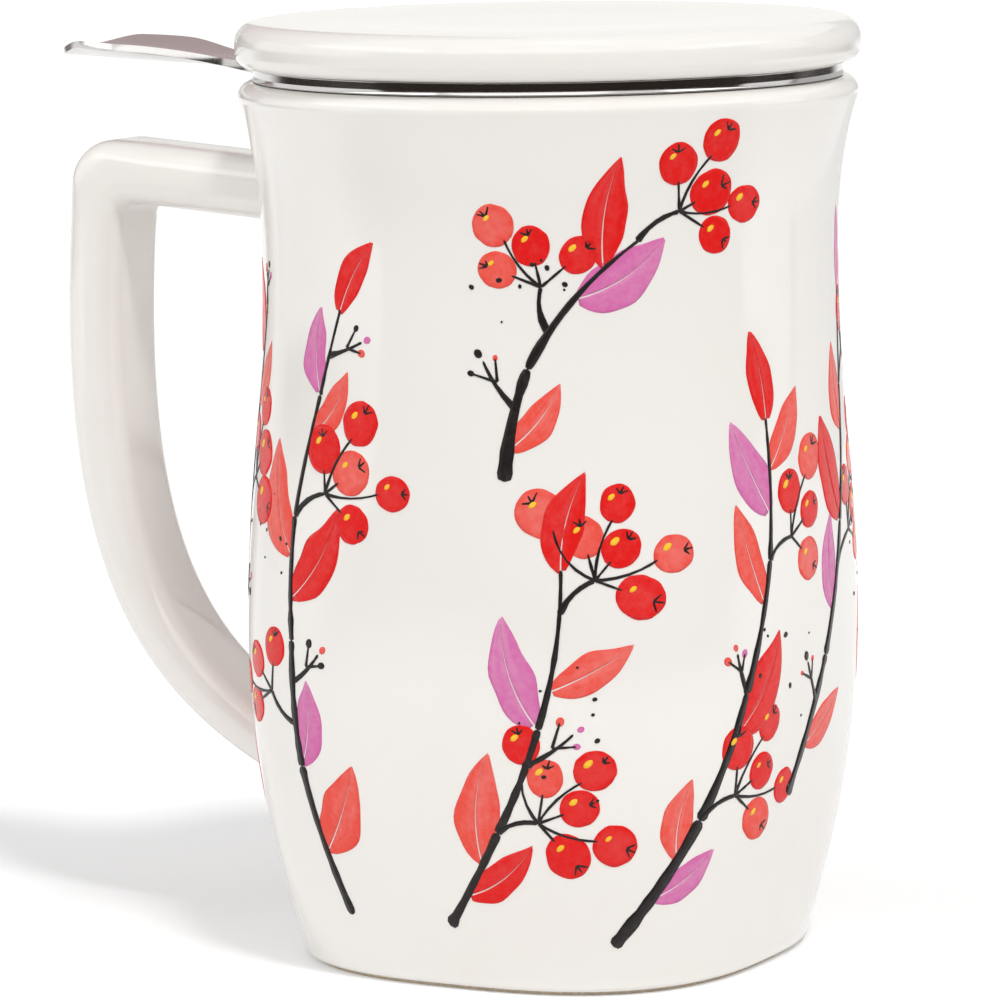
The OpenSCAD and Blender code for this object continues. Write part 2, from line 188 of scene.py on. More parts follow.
class MugPrint(bpy.types.PropertyGroup):
    """The print of leafy sprays and berries on the glaze."""

    seed: IntProperty(name="Seed", description="Starting number of the print's small variations", default=7)
    relief: length("Relief", "Height of the print's lowest colour above the glaze", 0.03)
    layer: length("Layer", "Height between one colour and the next", 0.013)
    stem: length("Stem", "Width of a spray's stem at its foot", 1.5)
    leaf: length("Leaf", "Mean length of a leaf", 13.5)
    berry: length("Berry", "Mean diameter of a berry", 5.7)
    thin: number("Thin paint", "How far the thinnest paint lets the glaze show through", 0.16)


class MugStudio(bpy.types.PropertyGroup):
    """Camera, floor and lamps."""

    azimuth: angle("Azimuth", "Direction of the camera round the mug, from straight in front", 27.167)
    distance: length("Distance", "Distance of the camera from the mug's axis", 789.07)
    height: length("Height", "Height of the camera above the table", 169.86)
    pitch: angle("Pitch", "Angle that the camera looks down by", 7.9035)
    pan: angle("Pan", "Angle that the camera is turned to the side by", -0.5132)
    roll: angle("Roll", "Angle that the camera is tilted by", -0.7689)
    focal: number("Focal share", "Focal length as a share of the picture's width", 5.9744)
    sensor: length("Sensor", "Width of the camera's sensor", 36)
    world: number("World", "Strength of the light from all round", 0.49)
    key: number("Key", "Strength of the key lamp, to the right of the camera and above it", 1.16)
    key_side: angle("Key side", "How far to the right of the camera the key lamp stands", 26)
    key_rise: angle("Key rise", "Height of the key lamp above level", 60)
    key_spread: angle("Key spread", "Apparent width of the key lamp, which softens the shadow", 9)
    glint: number("Glint", "Strength of the lamp that shows in reflections", 0.08)
    glint_side: angle("Glint side", "How far to the right of the camera the glint lamp stands", 30)
    glint_rise: angle("Glint rise", "Height of the glint lamp above level", 80)
    glint_spread: angle("Glint spread", "Apparent width of the glint lamp", 17)
    fill: number("Fill", "Strength of the fill lamp, to the left of the camera", 0.87)
    fill_side: angle("Fill side", "How far to the left of the camera the fill lamp stands", 76)
    fill_rise: angle("Fill rise", "Height of the fill lamp above level", 15)
    fill_spread: angle("Fill spread", "Apparent width of the fill lamp", 60)
    front: number("Front", "Strength of the soft lamp beside the camera", 0.58)
    front_side: angle("Front side", "How far to the left of the camera the soft lamp stands", 8)
    front_rise: angle("Front rise", "Height of the soft lamp above level", 12)
    front_spread: angle("Front spread", "Apparent width of the soft lamp", 70)
    edge: number("Edge", "Strength of the soft lamp to the right of the camera", 0.72)
    edge_side: angle("Edge side", "How far to the right of the camera the soft lamp stands", 75)
    edge_rise: angle("Edge rise", "Height of the soft lamp above level", 10)
    edge_spread: angle("Edge spread", "Apparent width of the soft lamp", 60)
    floor_tone: number("Floor tone", "How light the floor's colour is", 0.875)
    floor_lift: number("Floor lift", "Light that the floor adds so that it shows white", 0.185)


GROUPS = {
    "mug_form": MugForm,
    "mug_handle": MugHandle,
    "mug_steel": MugSteel,
    "mug_finish": MugFinish,
    "mug_print": MugPrint,
    "mug_studio": MugStudio,
}


def settings(group):
    return getattr(bpy.context.scene, group)


# ---- Curves of the ceramic body ----


def ease(t):
    t = min(1, max(0, t))
    return t * t * (3 - 2 * t)


def mix(a, b, t):
    return a + (b - a) * t


def blend(z, z0, r0, s0, z1, r1, s1):
    """A smooth curve from r0 at z0 to r1 at z1, with slopes s0 and s1 at its ends."""
    h = z1 - z0
    t = (z - z0) / h
    rise = 3 * t ** 2 - 2 * t ** 3
    return r0 * (1 - rise) + r1 * rise + h * (s0 * (t ** 3 - 2 * t ** 2 + t) + s1 * (t ** 3 - t ** 2))


def round_in(radius, depth):
    """How far a rounding has drawn back at a depth inside its edge."""
    if depth >= radius:
        return 0
    return radius - sqrt(radius ** 2 - (radius - max(0, depth)) ** 2)


class Skin:
    """The outer surface of the mug's body and the round cavity inside it."""

    def __init__(self, form):
        self.form = form
        self.foot_z = form.foot_h + form.foot_round
        self.flare = atan(form.lip_flare)
        self.flare_z = MUG_H - form.lip_round * (1 + sin(self.flare))
        self.flare_r = LIP_R - form.lip_round * (1 - cos(self.flare))
        self.land_r = LIP_R - form.lip_round - form.lip_land
        self.inner_round = max(0.2 * MM, self.land_r - self.flare_r + form.wall)
        self.ring_w = form.foot_w - form.foot_round - form.foot_inset
        self.recess_w = self.ring_w - form.foot_ring

    def wall(self, z):
        """Half-width of the body across its flats, without the roundings at its ends."""
        form = self.form
        if z < self.foot_z:
            return form.foot_w
        if z < form.belly_z:
            return blend(z, self.foot_z, form.foot_w, form.foot_slope, form.belly_z, form.belly_w, 0)
        if z < form.waist_z:
            return blend(z, form.belly_z, form.belly_w, 0, form.waist_z, form.waist_r, 0)
        if z < self.flare_z:
            return blend(z, form.waist_z, form.waist_r, 0, self.flare_z, self.flare_r, form.lip_flare)
        return self.flare_r

    def width(self, z):
        """The same with its roundings."""
        form = self.form
        if z > self.flare_z:
            drop = min(form.lip_round, z - MUG_H + form.lip_round)
            return LIP_R - form.lip_round + sqrt(form.lip_round ** 2 - drop ** 2)
        return self.wall(z) - round_in(form.foot_round, z - form.foot_h)

    def squareness(self, z):
        form = self.form
        return 2 + (form.foot_square - 2) * ease((form.round_z - z) / (form.round_z - form.square_z))

    def radius(self, turn, z):
        """Distance of the surface from the axis, in the direction of an angle."""
        n = self.squareness(z)
        return self.width(z) * (abs(cos(turn)) ** n + abs(sin(turn)) ** n) ** (-1 / n)

    def x_at(self, y, z):
        """Distance of the surface from the plane x = 0."""
        n = self.squareness(z)
        return (self.width(z) ** n - min(abs(y), self.width(z)) ** n) ** (1 / n)

    def cavity(self, z):
        form = self.form
        return (
            self.wall(z) - form.wall - round_in(form.floor_fillet, z - form.floor_t)
            + round_in(self.inner_round, MUG_H - z)
        )


# ---- Making meshes ----


def make_object(name, bm, material):
    """Turns a bmesh into an object of the scene."""
    mesh = bpy.data.meshes.new(name)
    bm.to_mesh(mesh)
    bm.free()
    mesh.materials.append(material)
    made = bpy.data.objects.new(name, mesh)
    bpy.context.scene.collection.objects.link(made)
    return made


def link_piece(name, bm, material, body, replaced=(), smooth=True):
    """Turns a bmesh into a finished object that rides on a body."""
    for face in bm.faces:
        face.smooth = smooth
    piece = make_object(name, bm, material)
    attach(piece, body)
    if replaced:
        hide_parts(*replaced)
    return piece


def start_ring(bm, sides, place):
    """A ring of edges that place(turn) puts where it belongs. Each point remembers its turn."""
    turn = bm.verts.layers.float.new("turn")
    ring = bmesh.ops.create_circle(bm, segments=sides, radius=1)["verts"]
    for vert in ring:
        vert[turn] = vert.co.xy.angle_signed(Vector((1, 0)), 0) % FULL_TURN
        vert.co = place(vert[turn])
    return list(dict.fromkeys(edge for vert in ring for edge in vert.link_edges))


def draw_out(bm, edges):
    """Extrudes edges. Gives the new points, and the new edges that join them."""
    made = bmesh.ops.extrude_edge_only(bm, edges=edges)["geom"]
    verts = [item for item in made if isinstance(item, bmesh.types.BMVert)]
    new = set(verts)
    rails = [item for item in made if isinstance(item, bmesh.types.BMEdge) and new.issuperset(item.verts)]
    return verts, rails


def next_ring(bm, edges, place):
    """Extrudes a ring of edges to where place(turn) puts its points."""
    turn = bm.verts.layers.float["turn"]
    verts, rails = draw_out(bm, edges)
    for vert in verts:
        vert.co = place(vert[turn])
    return rails


def close_ring(bm, edges, centre):
    """Draws a ring together to a point."""
    turned = next_ring(bm, edges, lambda turn: centre)
    verts = dict.fromkeys(vert for edge in turned for vert in edge.verts)
    bmesh.ops.remove_doubles(bm, verts=list(verts), dist=MM / 1000)


def ring_through(bm, sides, places, ends=None):
    """A skin through rings of points, closed at two end points, or end to end if none are given."""
    edges = start_ring(bm, sides, places[0])
    first = edges
    for place in places[1:]:
        edges = next_ring(bm, edges, place)
    if ends:
        close_ring(bm, edges, ends[1])
        close_ring(bm, first, ends[0])
    else:
        bmesh.ops.bridge_loops(bm, edges=first + edges)
    bmesh.ops.recalc_face_normals(bm, faces=bm.faces)
    return first, edges


def lathe(bm, profile, steps, closed=True):
    """Spins an outline of [radius, height] points about the axis."""
    verts = [bm.verts.new((r, 0, z)) for r, z in profile]
    pairs = list(zip(verts, verts[1:]))
    if closed:
        pairs.append((verts[-1], verts[0]))
    edges = [bm.edges.new(pair) for pair in pairs]
    bmesh.ops.spin(
        bm, geom=verts + edges, axis=(0, 0, 1), cent=(0, 0, 0), angle=FULL_TURN, steps=steps, use_merge=True
    )
    bmesh.ops.remove_doubles(bm, verts=bm.verts, dist=MM / 500)
    bmesh.ops.recalc_face_normals(bm, faces=bm.faces)


def arc(centre, radius, start, end, steps):
    """Points on a circle of an outline, from one angle to another, in degrees."""
    angles = [radians(mix(start, end, i / steps)) for i in range(steps + 1)]
    return [(centre[0] + radius * cos(a), centre[1] + radius * sin(a)) for a in angles]


def thicken(piece, name, thickness, offset=0):
    """Gives a skin its thickness, half to each side or all to one."""
    solid = piece.modifiers.new(name, "SOLIDIFY")
    solid.thickness = thickness
    solid.offset = offset


# ---- Materials ----


class Nodes:
    """Short ways to wire one material."""

    def __init__(self, name):
        self.material = bpy.data.materials.new(name)
        self.material.use_nodes = True
        self.tree = self.material.node_tree
        self.shader = self.tree.nodes["Principled BSDF"]
        self.output = self.tree.nodes["Material Output"]
        self.coords = self.node("ShaderNodeTexCoord").outputs["Object"]

    def node(self, kind, **values):
        made = self.tree.nodes.new(kind)
        for key, value in values.items():
            setattr(made, key, value)
        return made

    def link(self, source, target):
        self.tree.links.new(source, target)

    def noise(self, scale, detail=3, rough=0.55, stretch=None):
        made = self.node("ShaderNodeTexNoise")
        made.inputs["Scale"].default_value = scale
        made.inputs["Detail"].default_value = detail
        made.inputs["Roughness"].default_value = rough
        source = self.coords
        if stretch:
            mapping = self.node("ShaderNodeMapping")
            mapping.inputs["Scale"].default_value = stretch
            self.link(source, mapping.inputs["Vector"])
            source = mapping.outputs["Vector"]
        self.link(source, made.inputs["Vector"])
        return made.outputs["Fac"]

    def span(self, source, low, high, out_low=0.0, out_high=1.0):
        made = self.node("ShaderNodeMapRange", clamp=True)
        self.link(source, made.inputs["Value"])
        for key, value in zip(("From Min", "From Max", "To Min", "To Max"), (low, high, out_low, out_high)):
            made.inputs[key].default_value = value
        return made.outputs["Result"]

    def mix(self, factor, low, high):
        made = self.node("ShaderNodeMix", data_type="RGBA")
        self.link(factor, made.inputs["Factor"])
        for socket, value in ((made.inputs[6], low), (made.inputs[7], high)):
            if isinstance(value, bpy.types.NodeSocket):
                self.link(value, socket)
            else:
                socket.default_value = (*value, 1)
        return made.outputs[2]

    def math(self, operation, *values):
        made = self.node("ShaderNodeMath", operation=operation)
        for socket, value in zip(made.inputs, values):
            if isinstance(value, bpy.types.NodeSocket):
                self.link(value, socket)
            else:
                socket.default_value = value
        return made.outputs[0]

    def attribute(self, name):
        return self.node("ShaderNodeAttribute", attribute_name=name).outputs["Fac"]

    def bump(self, height, strength, distance):
        made = self.node("ShaderNodeBump")
        made.inputs["Strength"].default_value = strength
        made.inputs["Distance"].default_value = distance
        self.link(height, made.inputs["Height"])
        self.link(made.outputs["Normal"], self.shader.inputs["Normal"])

    def colour(self, source):
        self.link(source, self.shader.inputs["Base Color"])

    def rough(self, source):
        self.link(source, self.shader.inputs["Roughness"])


def glaze_material(name, shade=1):
    """Warm white glaze: cloudy by a shade, with the slow ripple of a dipped glaze. A shade below 1 makes a
    darker copy of it, as painted shade.
    """
    finish = settings("mug_finish")
    nodes = Nodes(name)
    cloud = nodes.span(nodes.noise(28, 4), 0.35, 0.68)
    main = tuple(shade * channel for channel in finish.glaze)
    warm = tuple(shade * channel for channel in finish.glaze_warm)
    nodes.colour(nodes.mix(cloud, main, warm))
    rough = finish.glaze_rough
    nodes.rough(nodes.span(nodes.noise(70, 3), 0.3, 0.7, rough * 0.85, rough * 1.25))
    ripple = nodes.noise(95, 2, 0.4)
    nodes.bump(ripple, 0.05, 0.25 * MM)
    nodes.shader.inputs["IOR"].default_value = 1.52
    nodes.shader.inputs["Coat Weight"].default_value = 0.35
    nodes.shader.inputs["Coat Roughness"].default_value = 0.04
    return nodes.material


def bisque_material(name):
    """Bare fired clay of the foot: sandy, matt and a little darker in its pores."""
    finish = settings("mug_finish")
    nodes = Nodes(name)
    grain = nodes.noise(1900, 4, 0.7)
    dark = tuple(0.72 * channel for channel in finish.bisque)
    nodes.colour(nodes.mix(nodes.span(grain, 0.35, 0.6), dark, finish.bisque))
    nodes.shader.inputs["Roughness"].default_value = 0.85
    nodes.bump(grain, 0.35, 0.08 * MM)
    return nodes.material


def steel_material(name, stretch, polish):
    """Stainless sheet: fine lines along its grain, duller where it is scuffed."""
    finish = settings("mug_finish")
    nodes = Nodes(name)
    lines = nodes.noise(420, 5, 0.65, stretch)
    scuff = nodes.span(nodes.noise(60, 4, 0.6), 0.42, 0.66)
    nodes.colour(nodes.mix(nodes.math("MULTIPLY", scuff, lines), finish.steel, finish.steel_dull))
    nodes.rough(nodes.span(lines, 0.25, 0.75, polish * 0.8, polish * 1.35))
    nodes.shader.inputs["Metallic"].default_value = 1
    nodes.bump(lines, 0.06, 0.03 * MM)
    return nodes.material


def print_material(name, deep, pale):
    """A brushed enamel colour: wash says how thin it lies, and the bristles leave streaks in it."""
    streak = 0.35
    nodes = Nodes(name)
    wash = nodes.attribute("wash")
    mottle = nodes.span(nodes.noise(900, 4, 0.7), 0.35, 0.7, -streak, streak)
    amount = nodes.span(nodes.math("ADD", wash, mottle), 0, 1)
    nodes.colour(nodes.mix(amount, deep, pale))
    nodes.shader.inputs["Roughness"].default_value = 0.22
    nodes.shader.inputs["Specular IOR Level"].default_value = 0.2
    return nodes.material


def shared_material(name, make, *values):
    """The material of a name, made the first time that it is asked for."""
    return bpy.data.materials.get(name) or make(name, *values)


def glaze():
    return shared_material("mug_glaze", glaze_material)


# The lid's glaze: the body's glaze darkened by the lid shade, as painted shade for the lid's lit top.
def lid_glaze():
    return shared_material("lid_glaze", glaze_material, settings("mug_finish").lid_painted_shade)


# ---- Body ----

BODY_SIDES = 192


def skin_place(skin, z, n=None, width=None):
    """Where a turn's point lies on the body's outline at a height, or on one of another width."""

    def place(turn):
        exponent = skin.squareness(z) if n is None else n
        half = skin.width(z) if width is None else width
        r = half * (abs(cos(turn)) ** exponent + abs(sin(turn)) ** exponent) ** (-1 / exponent)
        return Vector((r * cos(turn), r * sin(turn), z))

    return place


class MUG_OT_body(bpy.types.Operator):
    """Make the glazed body and its unglazed foot ring"""

    bl_idname = "mug.body"
    bl_label = "Body"

    def execute(self, context):
        form = settings("mug_form")
        skin = Skin(form)
        self.shell(form, skin)
        self.foot(form, skin)
        return {"FINISHED"}

    def shell(self, form, skin):
        steps = 100
        arc_steps = 10
        ring_w, recess_w = skin.ring_w, skin.recess_w
        square = form.foot_square
        under = [
            (recess_w - 0.4 * MM, form.foot_recess),
            (recess_w - 0.1 * MM, form.foot_recess - 0.1 * MM),
            (recess_w + 0.02 * MM, form.foot_recess - 0.4 * MM),
            (recess_w + 0.1 * MM, form.foot_h),
            (ring_w, form.foot_h),
        ]
        places = [skin_place(skin, form.foot_recess, square, recess_w * share) for share in (0.3, 0.65, 0.9)]
        places += [skin_place(skin, z, square, w) for w, z in under]
        for i in range(arc_steps):
            places.append(skin_place(skin, skin.foot_z - form.foot_round * cos(pi / 2 * i / arc_steps)))
        for i in range(steps):
            places.append(skin_place(skin, mix(skin.foot_z, skin.flare_z, i / steps)))
        for i in range(arc_steps + 1):
            turn = mix(-skin.flare, pi / 2, i / arc_steps)
            r = LIP_R - form.lip_round + form.lip_round * cos(turn)
            places.append(skin_place(skin, MUG_H - form.lip_round + form.lip_round * sin(turn), 2, r))
        for i in range(arc_steps + 1):
            z = MUG_H - skin.inner_round * (1 - cos(pi / 2 * i / arc_steps))
            places.append(skin_place(skin, z, 2, skin.cavity(z)))
        low = form.floor_t + form.floor_fillet
        for i in range(1, steps // 2):
            z = mix(MUG_H - skin.inner_round, low, i / (steps // 2))
            places.append(skin_place(skin, z, 2, skin.cavity(z)))
        for i in range(arc_steps + 1):
            z = form.floor_t + form.floor_fillet * (1 - sin(pi / 2 * i / arc_steps))
            places.append(skin_place(skin, z, 2, skin.cavity(z)))
        floor_r = skin.cavity(form.floor_t)
        places += [skin_place(skin, form.floor_t, 2, floor_r * share) for share in (0.8, 0.5, 0.2)]
        bm = bmesh.new()
        ends = (Vector((0, 0, form.foot_recess)), Vector((0, 0, form.floor_t)))
        ring_through(bm, BODY_SIDES, places, ends)
        link_piece("mug_shell", bm, glaze(), "mug", ["mug_body"])

    def foot(self, form, skin):
        inner, outer = skin.recess_w, skin.ring_w
        edge = 0.22 * MM
        top = form.foot_h + 0.25 * MM
        outline = [(inner, top), (outer, top), (outer, edge)]
        outline += arc((outer - edge, edge), edge, 0, -90, 4)[1:]
        outline += arc((inner + edge, edge), edge, -90, -180, 4)
        places = [skin_place(skin, z, form.foot_square, w) for w, z in outline]
        bm = bmesh.new()
        ring_through(bm, BODY_SIDES, places)
        link_piece("foot_ring", bm, shared_material("foot_bisque", bisque_material), "mug")


# ---- Handle ----


class HandlePath:
    """The handle's two edges in its own plane, as [distance from the axis, height]."""

    def __init__(self, form, handle, skin):
        self.handle = handle
        self.skin = skin
        self.out = Vector((cos(handle.tilt), sin(handle.tilt)))
        self.up = Vector((-sin(handle.tilt), cos(handle.tilt)))
        self.elbow = Vector((handle.elbow_x, handle.elbow_z))
        half = handle.thickness / 2
        self.inner_centre = self.elbow - (half + handle.elbow_inner) * (self.up + self.out)
        self.outer_centre = self.elbow + (half - handle.elbow_outer) * (self.up + self.out)
        run = (handle.elbow_x - skin.width(handle.elbow_z) + form.wall / 2) / self.out.x
        self.arm_start = self.elbow - self.out * run
        drop = max(half + handle.elbow_inner, handle.elbow_outer - half) + 0.5 * MM
        start = self.elbow - self.up * drop
        root = Vector((skin.width(handle.root_z) - form.wall / 2, handle.root_z))
        lead = Vector((cos(handle.root_angle), sin(handle.root_angle)))
        self.curve = (start, start - self.up * handle.grip_pull, root + lead * handle.root_pull, root)

    def arm(self, distance):
        middle = self.arm_start + self.out * distance
        half = self.up * self.handle.thickness / 2
        return middle - half, middle + half

    def arm_end(self):
        """Distance along the arm at which the elbow starts, where its inner arc does."""
        return (self.inner_centre - self.arm_start).dot(self.out)

    def corner(self, share):
        """The elbow's edges. The arm's last edges and the grip's first are those at shares 0 and 1."""
        turn = pi / 2 + self.handle.tilt - pi / 2 * share
        ray = Vector((cos(turn), sin(turn)))
        inner = self.inner_centre + self.handle.elbow_inner * ray
        return inner, self.outer_centre + self.handle.elbow_outer * ray

    def point(self, t):
        a, b, c, d = self.curve
        s = 1 - t
        return a * s ** 3 + b * 3 * s * s * t + c * 3 * s * t * t + d * t ** 3

    def grip(self, t):
        ahead = (self.point(t + 0.005) - self.point(t - 0.005)).normalized()
        side = Vector((-ahead.y, ahead.x))
        half = mix(self.handle.thickness, self.handle.root_t, t) / 2
        return self.point(t) - side * half, self.point(t) + side * half


def rounded(turn, half_w, half_t, corner):
    """A point of a rounded rectangle: its offset across and outwards."""
    quarter = int(turn // (pi / 2)) % 4
    across = 1 if quarter in (0, 3) else -1
    out = 1 if quarter in (0, 1) else -1
    corner = min(corner, half_t * 0.96)
    return (
        across * (half_w - corner) + corner * cos(turn),
        out * (half_t - corner) + corner * sin(turn),
    )


class MUG_OT_handle(bpy.types.Operator):
    """Make the handle, with fillets where it meets the body"""

    bl_idname = "mug.handle"
    bl_label = "Handle"

    sides = 56
    fillet_steps = 9

    def execute(self, context):
        form = settings("mug_form")
        self.handle = settings("mug_handle")
        self.skin = Skin(form)
        self.path = HandlePath(form, self.handle, self.skin)
        arm_from = self.crossings(self.path.arm, 0, form.wall * 3)
        root_t = 2 * self.handle.root_t / (3 * self.handle.root_pull)
        root_from = self.crossings(self.path.grip, 1 + root_t, 1 - 2 * root_t)
        places = self.fillet(self.path.arm, arm_from, 1)
        arm_end = self.path.arm_end()
        reach = form.wall / 2 + self.handle.fillet * 1.6
        for i in range(7):
            places.append(self.section(self.path.arm(mix(reach, arm_end, (i + 1) / 8))))
        for i in range(13):
            places.append(self.section(self.path.corner(i / 12)))
        grip_end = 1 - (reach + self.handle.root_t * 0.75) / (3 * self.handle.root_pull)
        for i in range(60):
            places.append(self.section(self.path.grip(mix(0.012, grip_end, i / 59))))
        places += reversed(self.fillet(self.path.grip, root_from, -1 / (3 * self.handle.root_pull)))
        bm = bmesh.new()
        ends = (self.inside(self.path.arm(0)), self.inside(self.path.grip(1)))
        first, last = ring_through(bm, self.sides, places, ends)
        for edge in first + last:
            edge.smooth = False
        link_piece("handle_loop", bm, glaze(), "mug", ["mug_handle"])
        return {"FINISHED"}

    def surface(self, edges, turn):
        """A point of the handle's surface at a turn of its section."""
        inner, outer = edges
        middle = (inner + outer) / 2
        half = (outer - inner).length / 2
        ray = (outer - inner).normalized()
        across, out = rounded(turn, self.handle.width / 2, half, self.handle.corner)
        place = middle + ray * out
        return Vector((-place.x, across, place.y))

    def section(self, edges):
        return lambda turn: self.surface(edges, turn)

    def inside(self, edges):
        middle = (edges[0] + edges[1]) / 2
        return Vector((-middle.x + 0.5 * MM, 0, middle.y))

    def outside(self, point):
        """Distance of a point outside the body's wall, along x."""
        return -point.x - self.skin.x_at(point.y, point.z)

    def crossings(self, edges_at, inner, outer):
        """For each turn, the station at which the bare handle leaves the wall."""

        def station(turn, clear):
            low, high = inner, outer
            for _ in range(40):
                middle = (low + high) / 2
                if self.outside(self.surface(edges_at(middle), turn)) < clear:
                    low = middle
                else:
                    high = middle
            return (low + high) / 2

        return station

    def fillet(self, edges_at, station, step):
        """Rings from the wall out to the bare handle, each point on a curve from one to the other."""
        reach = self.handle.fillet

        def place_at(share):
            def place(turn):
                root = station(turn, 0)
                wall = self.surface(edges_at(root), turn)
                start = self.surface(edges_at(root + step * reach), turn)
                edges = edges_at(root)
                middle = (edges[0] + edges[1]) / 2
                away = Vector((0, wall.y, wall.z - middle.y)).normalized() * reach * 0.8
                foot_y = wall.y + away.y
                foot_z = wall.z + away.z
                foot = Vector((-self.skin.x_at(foot_y, foot_z) + 0.015 * MM, foot_y, foot_z))
                s = 1 - share
                return foot * s * s + wall * 2 * s * share + start * share * share

            return place

        return [place_at(i / self.fillet_steps) for i in range(self.fillet_steps + 1)]


# ---- Lid ----


class MUG_OT_lid(bpy.types.Operator):
    """Make the lid, with its shallow dish and its locating ring"""

    bl_idname = "mug.lid"
    bl_label = "Lid"

    def execute(self, context):
        low = RIM_TOP + 0.1 * MM
        ring_low = LID_BOX[0].z
        top_round = 2.8 * MM
        low_round = 1.9 * MM
        dish = 0.4 * MM
        dish_r = LID_R - 7.3 * MM
        ring_w = 3.4 * MM
        ring_r = BASKET_R - settings("mug_steel").sheet - 0.8 * MM
        edge = 0.8 * MM
        steps = 12
        profile = [(0, LID_TOP - dish)]
        for i in range(1, 16):
            share = i / 16
            profile.append((dish_r * share, LID_TOP - dish * ease((1 - share) * 1.6)))
        profile += [(dish_r, LID_TOP), (mix(dish_r, LID_R - top_round, 0.6), LID_TOP)]
        profile += arc((LID_R - top_round, LID_TOP - top_round), top_round, 90, 0, steps)
        profile += arc((LID_R - low_round, low + low_round), low_round, 0, -90, steps)
        profile += [(ring_r + edge * 2, low)]
        profile += arc((ring_r + edge, low - edge), edge, 90, 180, 5)
        profile += arc((ring_r - edge, ring_low + edge), edge, 0, -90, 5)
        profile += arc((ring_r - ring_w + edge, ring_low + edge), edge, -90, -180, 5)
        profile += arc((ring_r - ring_w - edge, low - edge), edge, 0, 90, 5)
        profile += [(ring_r * 0.6, low), (0, low)]
        bm = bmesh.new()
        lathe(bm, profile, BODY_SIDES, closed=False)
        link_piece("lid_cover", bm, lid_glaze(), "lid", ["lid"])
        return {"FINISHED"}


# ---- Infuser ----


def rim_steel():
    return shared_material("steel_rim", steel_material, (1, 1, 14), 0.10)


def tab_steel():
    return shared_material("steel_tab", steel_material, (1, 10, 4), 0.16)


def basket_steel():
    return shared_material("steel_basket", steel_material, (1, 1, 9), 0.24)


class MUG_OT_rim(bpy.types.Operator):
    """Make the infuser's rim: a band with a rolled bead, its flange and its collar"""

    bl_idname = "mug.rim"
    bl_label = "Infuser rim"

    def execute(self, context):
        steel = settings("mug_steel")
        bead = steel.bead / 2
        lip = 0.13 * MM
        low = MUG_H + 0.1 * MM
        band_r = RIM_R - steel.band_step
        edge = 0.12 * MM
        inner = BASKET_R + 0.03 * MM
        outer = inner + steel.sheet
        fillet = 1.0 * MM
        under = RIM_TOP - steel.sheet
        hold = 0.06 * MM
        flare = low + steel.bead * 0.87
        profile = [(band_r, flare + hold), (band_r, flare)]
        profile += arc((RIM_R - lip, low + lip), lip, 24, -90, 7)
        profile += arc((RIM_R - bead, low + bead), bead, -90, -200, 8)
        profile += [(band_r - steel.sheet, low + steel.bead * 0.9), (band_r - steel.sheet - 0.2 * MM, under)]
        profile += [(outer + fillet, under)]
        profile += arc((outer + fillet, under - fillet), fillet, 90, 180, 5)[1:]
        profile += [(outer, COLLAR_Z + 0.1 * MM), (outer - 0.1 * MM, COLLAR_Z)]
        profile += [(inner + 0.1 * MM, COLLAR_Z), (inner, COLLAR_Z + 0.1 * MM)]
        profile += arc((inner + 0.8 * MM, RIM_TOP - 0.8 * MM), 0.8 * MM, 180, 90, 6)
        profile += arc((band_r - edge, RIM_TOP - edge), edge, 90, 0, 5)
        profile += [(band_r, RIM_TOP - edge - hold)]
        bm = bmesh.new()
        lathe(bm, profile, BODY_SIDES)
        link_piece("rim_band", bm, rim_steel(), "infuser", ["infuser_rim"])
        return {"FINISHED"}


NECK_AT = 0.26
LEAF_AT = 0.67


def tab_width(steel, u):
    """Half-width of the tab at a share of its length: wide at the rim, a neck, then a pointed leaf."""
    if u < NECK_AT:
        return steel.tab_neck_w + (TAB_ROOT_W - steel.tab_neck_w) * (1 - u / NECK_AT) ** 2.5
    if u < LEAF_AT:
        return blend(u, NECK_AT, steel.tab_neck_w, 0, LEAF_AT, steel.tab_leaf_w, 0)
    return steel.tab_leaf_w * max(0, 1 - ((u - LEAF_AT) / (1 - LEAF_AT)) ** 2) ** 0.65


class MUG_OT_tab(bpy.types.Operator):
    """Make the dished thumb tab, bent up from a flat grid"""

    bl_idname = "mug.tab"
    bl_label = "Thumb tab"

    def execute(self, context):
        steel = settings("mug_steel")
        root_r = RIM_R - steel.band_step - 0.05 * MM
        middle = MUG_H + 0.13 * MM + steel.tab_t / 2
        along, across = 72, 22
        bm = bmesh.new()
        bmesh.ops.create_grid(bm, x_segments=along, y_segments=across, size=1)
        widest = max(vert.co.x for vert in bm.verts)
        for vert in bm.verts:
            u = 0.999 * (1 - (1 - (vert.co.x / widest + 1) / 2) ** 1.5)
            v = vert.co.y / widest
            y = v * tab_width(steel, u)
            root_x = sqrt(root_r ** 2 - y ** 2)
            straighten = (root_r - root_x) * ease(u / NECK_AT)
            x = root_x + (TAB_REACH - RIM_R) * u + straighten + (RIM_R - root_r) * u
            rise = steel.tab_dish * ease((u - 0.08) / 0.53) * (1 - ease((u - 0.8) / 0.2))
            vert.co = (-x, y, middle + steel.tab_lift * u + rise * v * v)
        bmesh.ops.recalc_face_normals(bm, faces=bm.faces)
        if sum(face.normal.z for face in bm.faces) < 0:
            bmesh.ops.reverse_faces(bm, faces=bm.faces)
        piece = link_piece("thumb_tab", bm, tab_steel(), "infuser", ["infuser_tab"])
        thicken(piece, "Sheet", steel.tab_t)
        bevel = piece.modifiers.new("Edges", "BEVEL")
        bevel.width = steel.tab_t * 0.48
        bevel.segments = 5
        bevel.limit_method = "ANGLE"
        bevel.angle_limit = radians(50)
        return {"FINISHED"}


